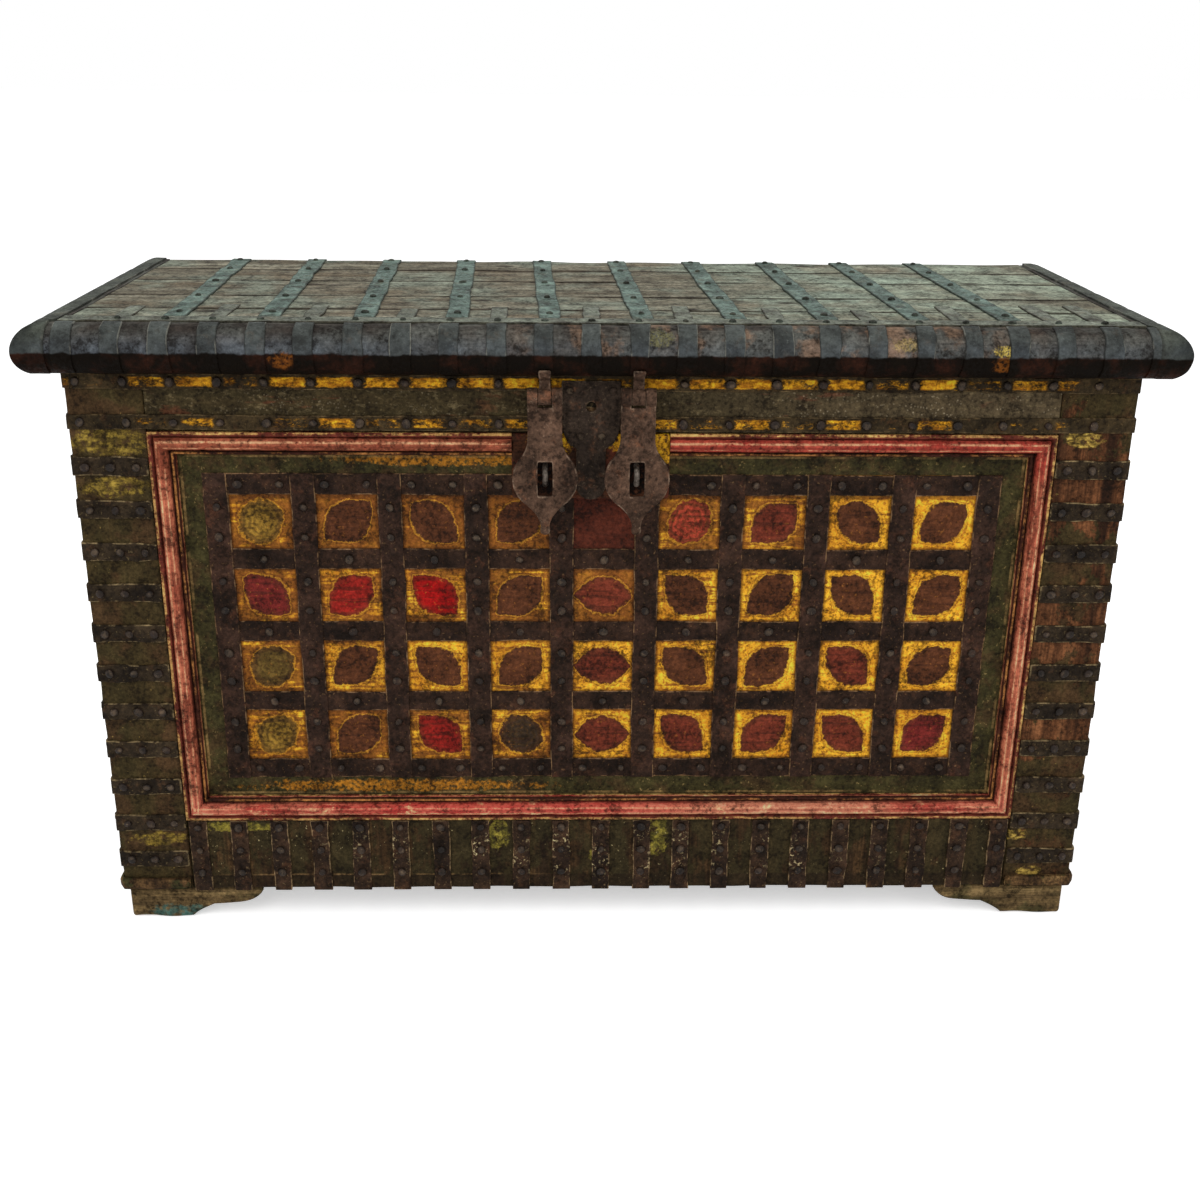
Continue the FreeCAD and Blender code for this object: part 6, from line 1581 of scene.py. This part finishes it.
hanger_reach = nose_under + sheet_thick + HANGER_THICK / 2
for label in ("left", "right"):
    pin_x, pin_y, pin_z = hasp_pin(label)
    begin = math.acos((nose_under - HANGER_START) / (nose_under + sheet_thick))
    finish = math.acos((nose_under - (pin_y - lid_front)) / hanger_reach)
    turn = np.linspace(begin, finish, 6)
    line = np.stack([lid_front + nose_under - hanger_reach * np.cos(turn),
                     arris_z - hanger_reach * np.sin(turn)], -1)
    line, normal = rounded_line(np.concatenate([line, [(pin_y, pin_z)]]), HANGER_THICK, 0.002)
    path, out = raise_line(line, -normal, (1, 2), pin_x)
    waist = HANGER_WIDTH / 2 - HANGER_WAIST * np.sin(np.linspace(0, np.pi, len(path)))
    blocks.append(bar(path, (1, 0, 0), out, waist, HANGER_THICK / 2, -HANGER_THICK / 2, PLATE_WORN, 3,
                      turns=3, dents=0.0004, dent_length=0.012, seed=441))
    blocks.append(rolled_eye(pin_x - HANGER_WIDTH / 2, pin_x + HANGER_WIDTH / 2, pin_y, pin_z,
                             EYE_RADIUS - 0.0006, 442))
add_piece("hasp_hanger_straps", "lid", "hasp_iron", ["hasp_hangers"], hasp_finish, *skin(blocks))
dress("hasp_pins", hasp_finish)


# Studio: a plain pale floor under three soft lamps, white beyond it, and the camera where the
# photograph was taken. The floor and the world show white to the camera, and light the chest less.
FLOOR_REACH = 30.0
LENS_PIXELS = 1459.5
IMAGE_PIXELS = 1200
SENSOR = 36.0
EYE = (-0.0528, -1.9679, 1.1411)
EYE_TURN, EYE_DIP, EYE_ROLL = -1.584, 21.094, 0.630

ground = bpy.data.meshes.new("floor")
ground.from_pydata([(-FLOOR_REACH, -FLOOR_REACH, 0), (FLOOR_REACH, -FLOOR_REACH, 0),
                    (FLOOR_REACH, FLOOR_REACH, 0), (-FLOOR_REACH, FLOOR_REACH, 0)], [], [(0, 1, 2, 3)])
ground_object = bpy.data.objects.new("floor", ground)
bpy.context.scene.collection.objects.link(ground_object)
FLOOR_GLOW = 0.5
OTHER_RAYS = ("Is Glossy Ray", "Is Transmission Ray")
floor = Finish("floor_paper")
light = floor.node("ShaderNodeLightPath").outputs
seen = light["Is Camera Ray"]
for ray in OTHER_RAYS:
    seen = floor.sum("MAXIMUM", seen, light[ray])
floor.shader.inputs["Emission Color"].default_value = (1, 1, 1, 1)
floor.put(floor.shader.inputs["Emission Strength"], floor.times(seen, FLOOR_GLOW))
ground.materials.append(floor.shade(paint(246, 246, 246), 0.9, [(floor.noise(60.0), 0.0001)], grime=0))

WORLD_LIGHT = 0.7
world = bpy.data.worlds.new("studio")
bpy.context.scene.world = world
world.use_nodes = True
nodes, links = world.node_tree.nodes, world.node_tree.links
light = nodes.new("ShaderNodeLightPath").outputs
seen = light["Is Camera Ray"]
for ray in OTHER_RAYS:
    either = nodes.new("ShaderNodeMath")
    either.operation = "MAXIMUM"
    links.new(seen, either.inputs[0])
    links.new(light[ray], either.inputs[1])
    seen = either.outputs[0]
strength = nodes.new("ShaderNodeMapRange")
links.new(seen, strength.inputs["Value"])
strength.inputs["To Min"].default_value = WORLD_LIGHT
strength.inputs["To Max"].default_value = 1.0
links.new(strength.outputs[0], nodes["Background"].inputs["Strength"])
nodes["Background"].inputs["Color"].default_value = (1, 1, 1, 1)

LAMP_AIM = (0, 0, 0.45)
LAMPS = (("key", (-1.2, -2.6, 3.0), 2.6, 54.0),
         ("fill", (2.6, -2.0, 2.0), 2.2, 22.0),
         ("top", (0.3, 0.9, 3.2), 2.4, 28.0))
for name, place, size, power in LAMPS:
    lamp = bpy.data.lights.new(name, "AREA")
    lamp.size = size
    lamp.energy = power
    lamp_object = bpy.data.objects.new(name, lamp)
    bpy.context.scene.collection.objects.link(lamp_object)
    aim = Vector(place) - Vector(LAMP_AIM)
    lamp_object.matrix_world = Matrix.Translation(place) @ aim.to_track_quat("Z", "Y").to_matrix().to_4x4()

eye = bpy.data.cameras.new("eye")
eye.sensor_width = SENSOR
eye.lens = LENS_PIXELS / IMAGE_PIXELS * SENSOR
eye_object = bpy.data.objects.new("eye", eye)
bpy.context.scene.collection.objects.link(eye_object)
eye_object.matrix_world = (Matrix.Translation(EYE) @ Matrix.Rotation(math.radians(EYE_TURN), 4, "Z")
                           @ Matrix.Rotation(math.radians(90 - EYE_DIP), 4, "X")
                           @ Matrix.Rotation(math.radians(EYE_ROLL), 4, "Z"))
bpy.context.scene.camera = eye_object
bpy.context.scene.view_settings.view_transform = "Standard"
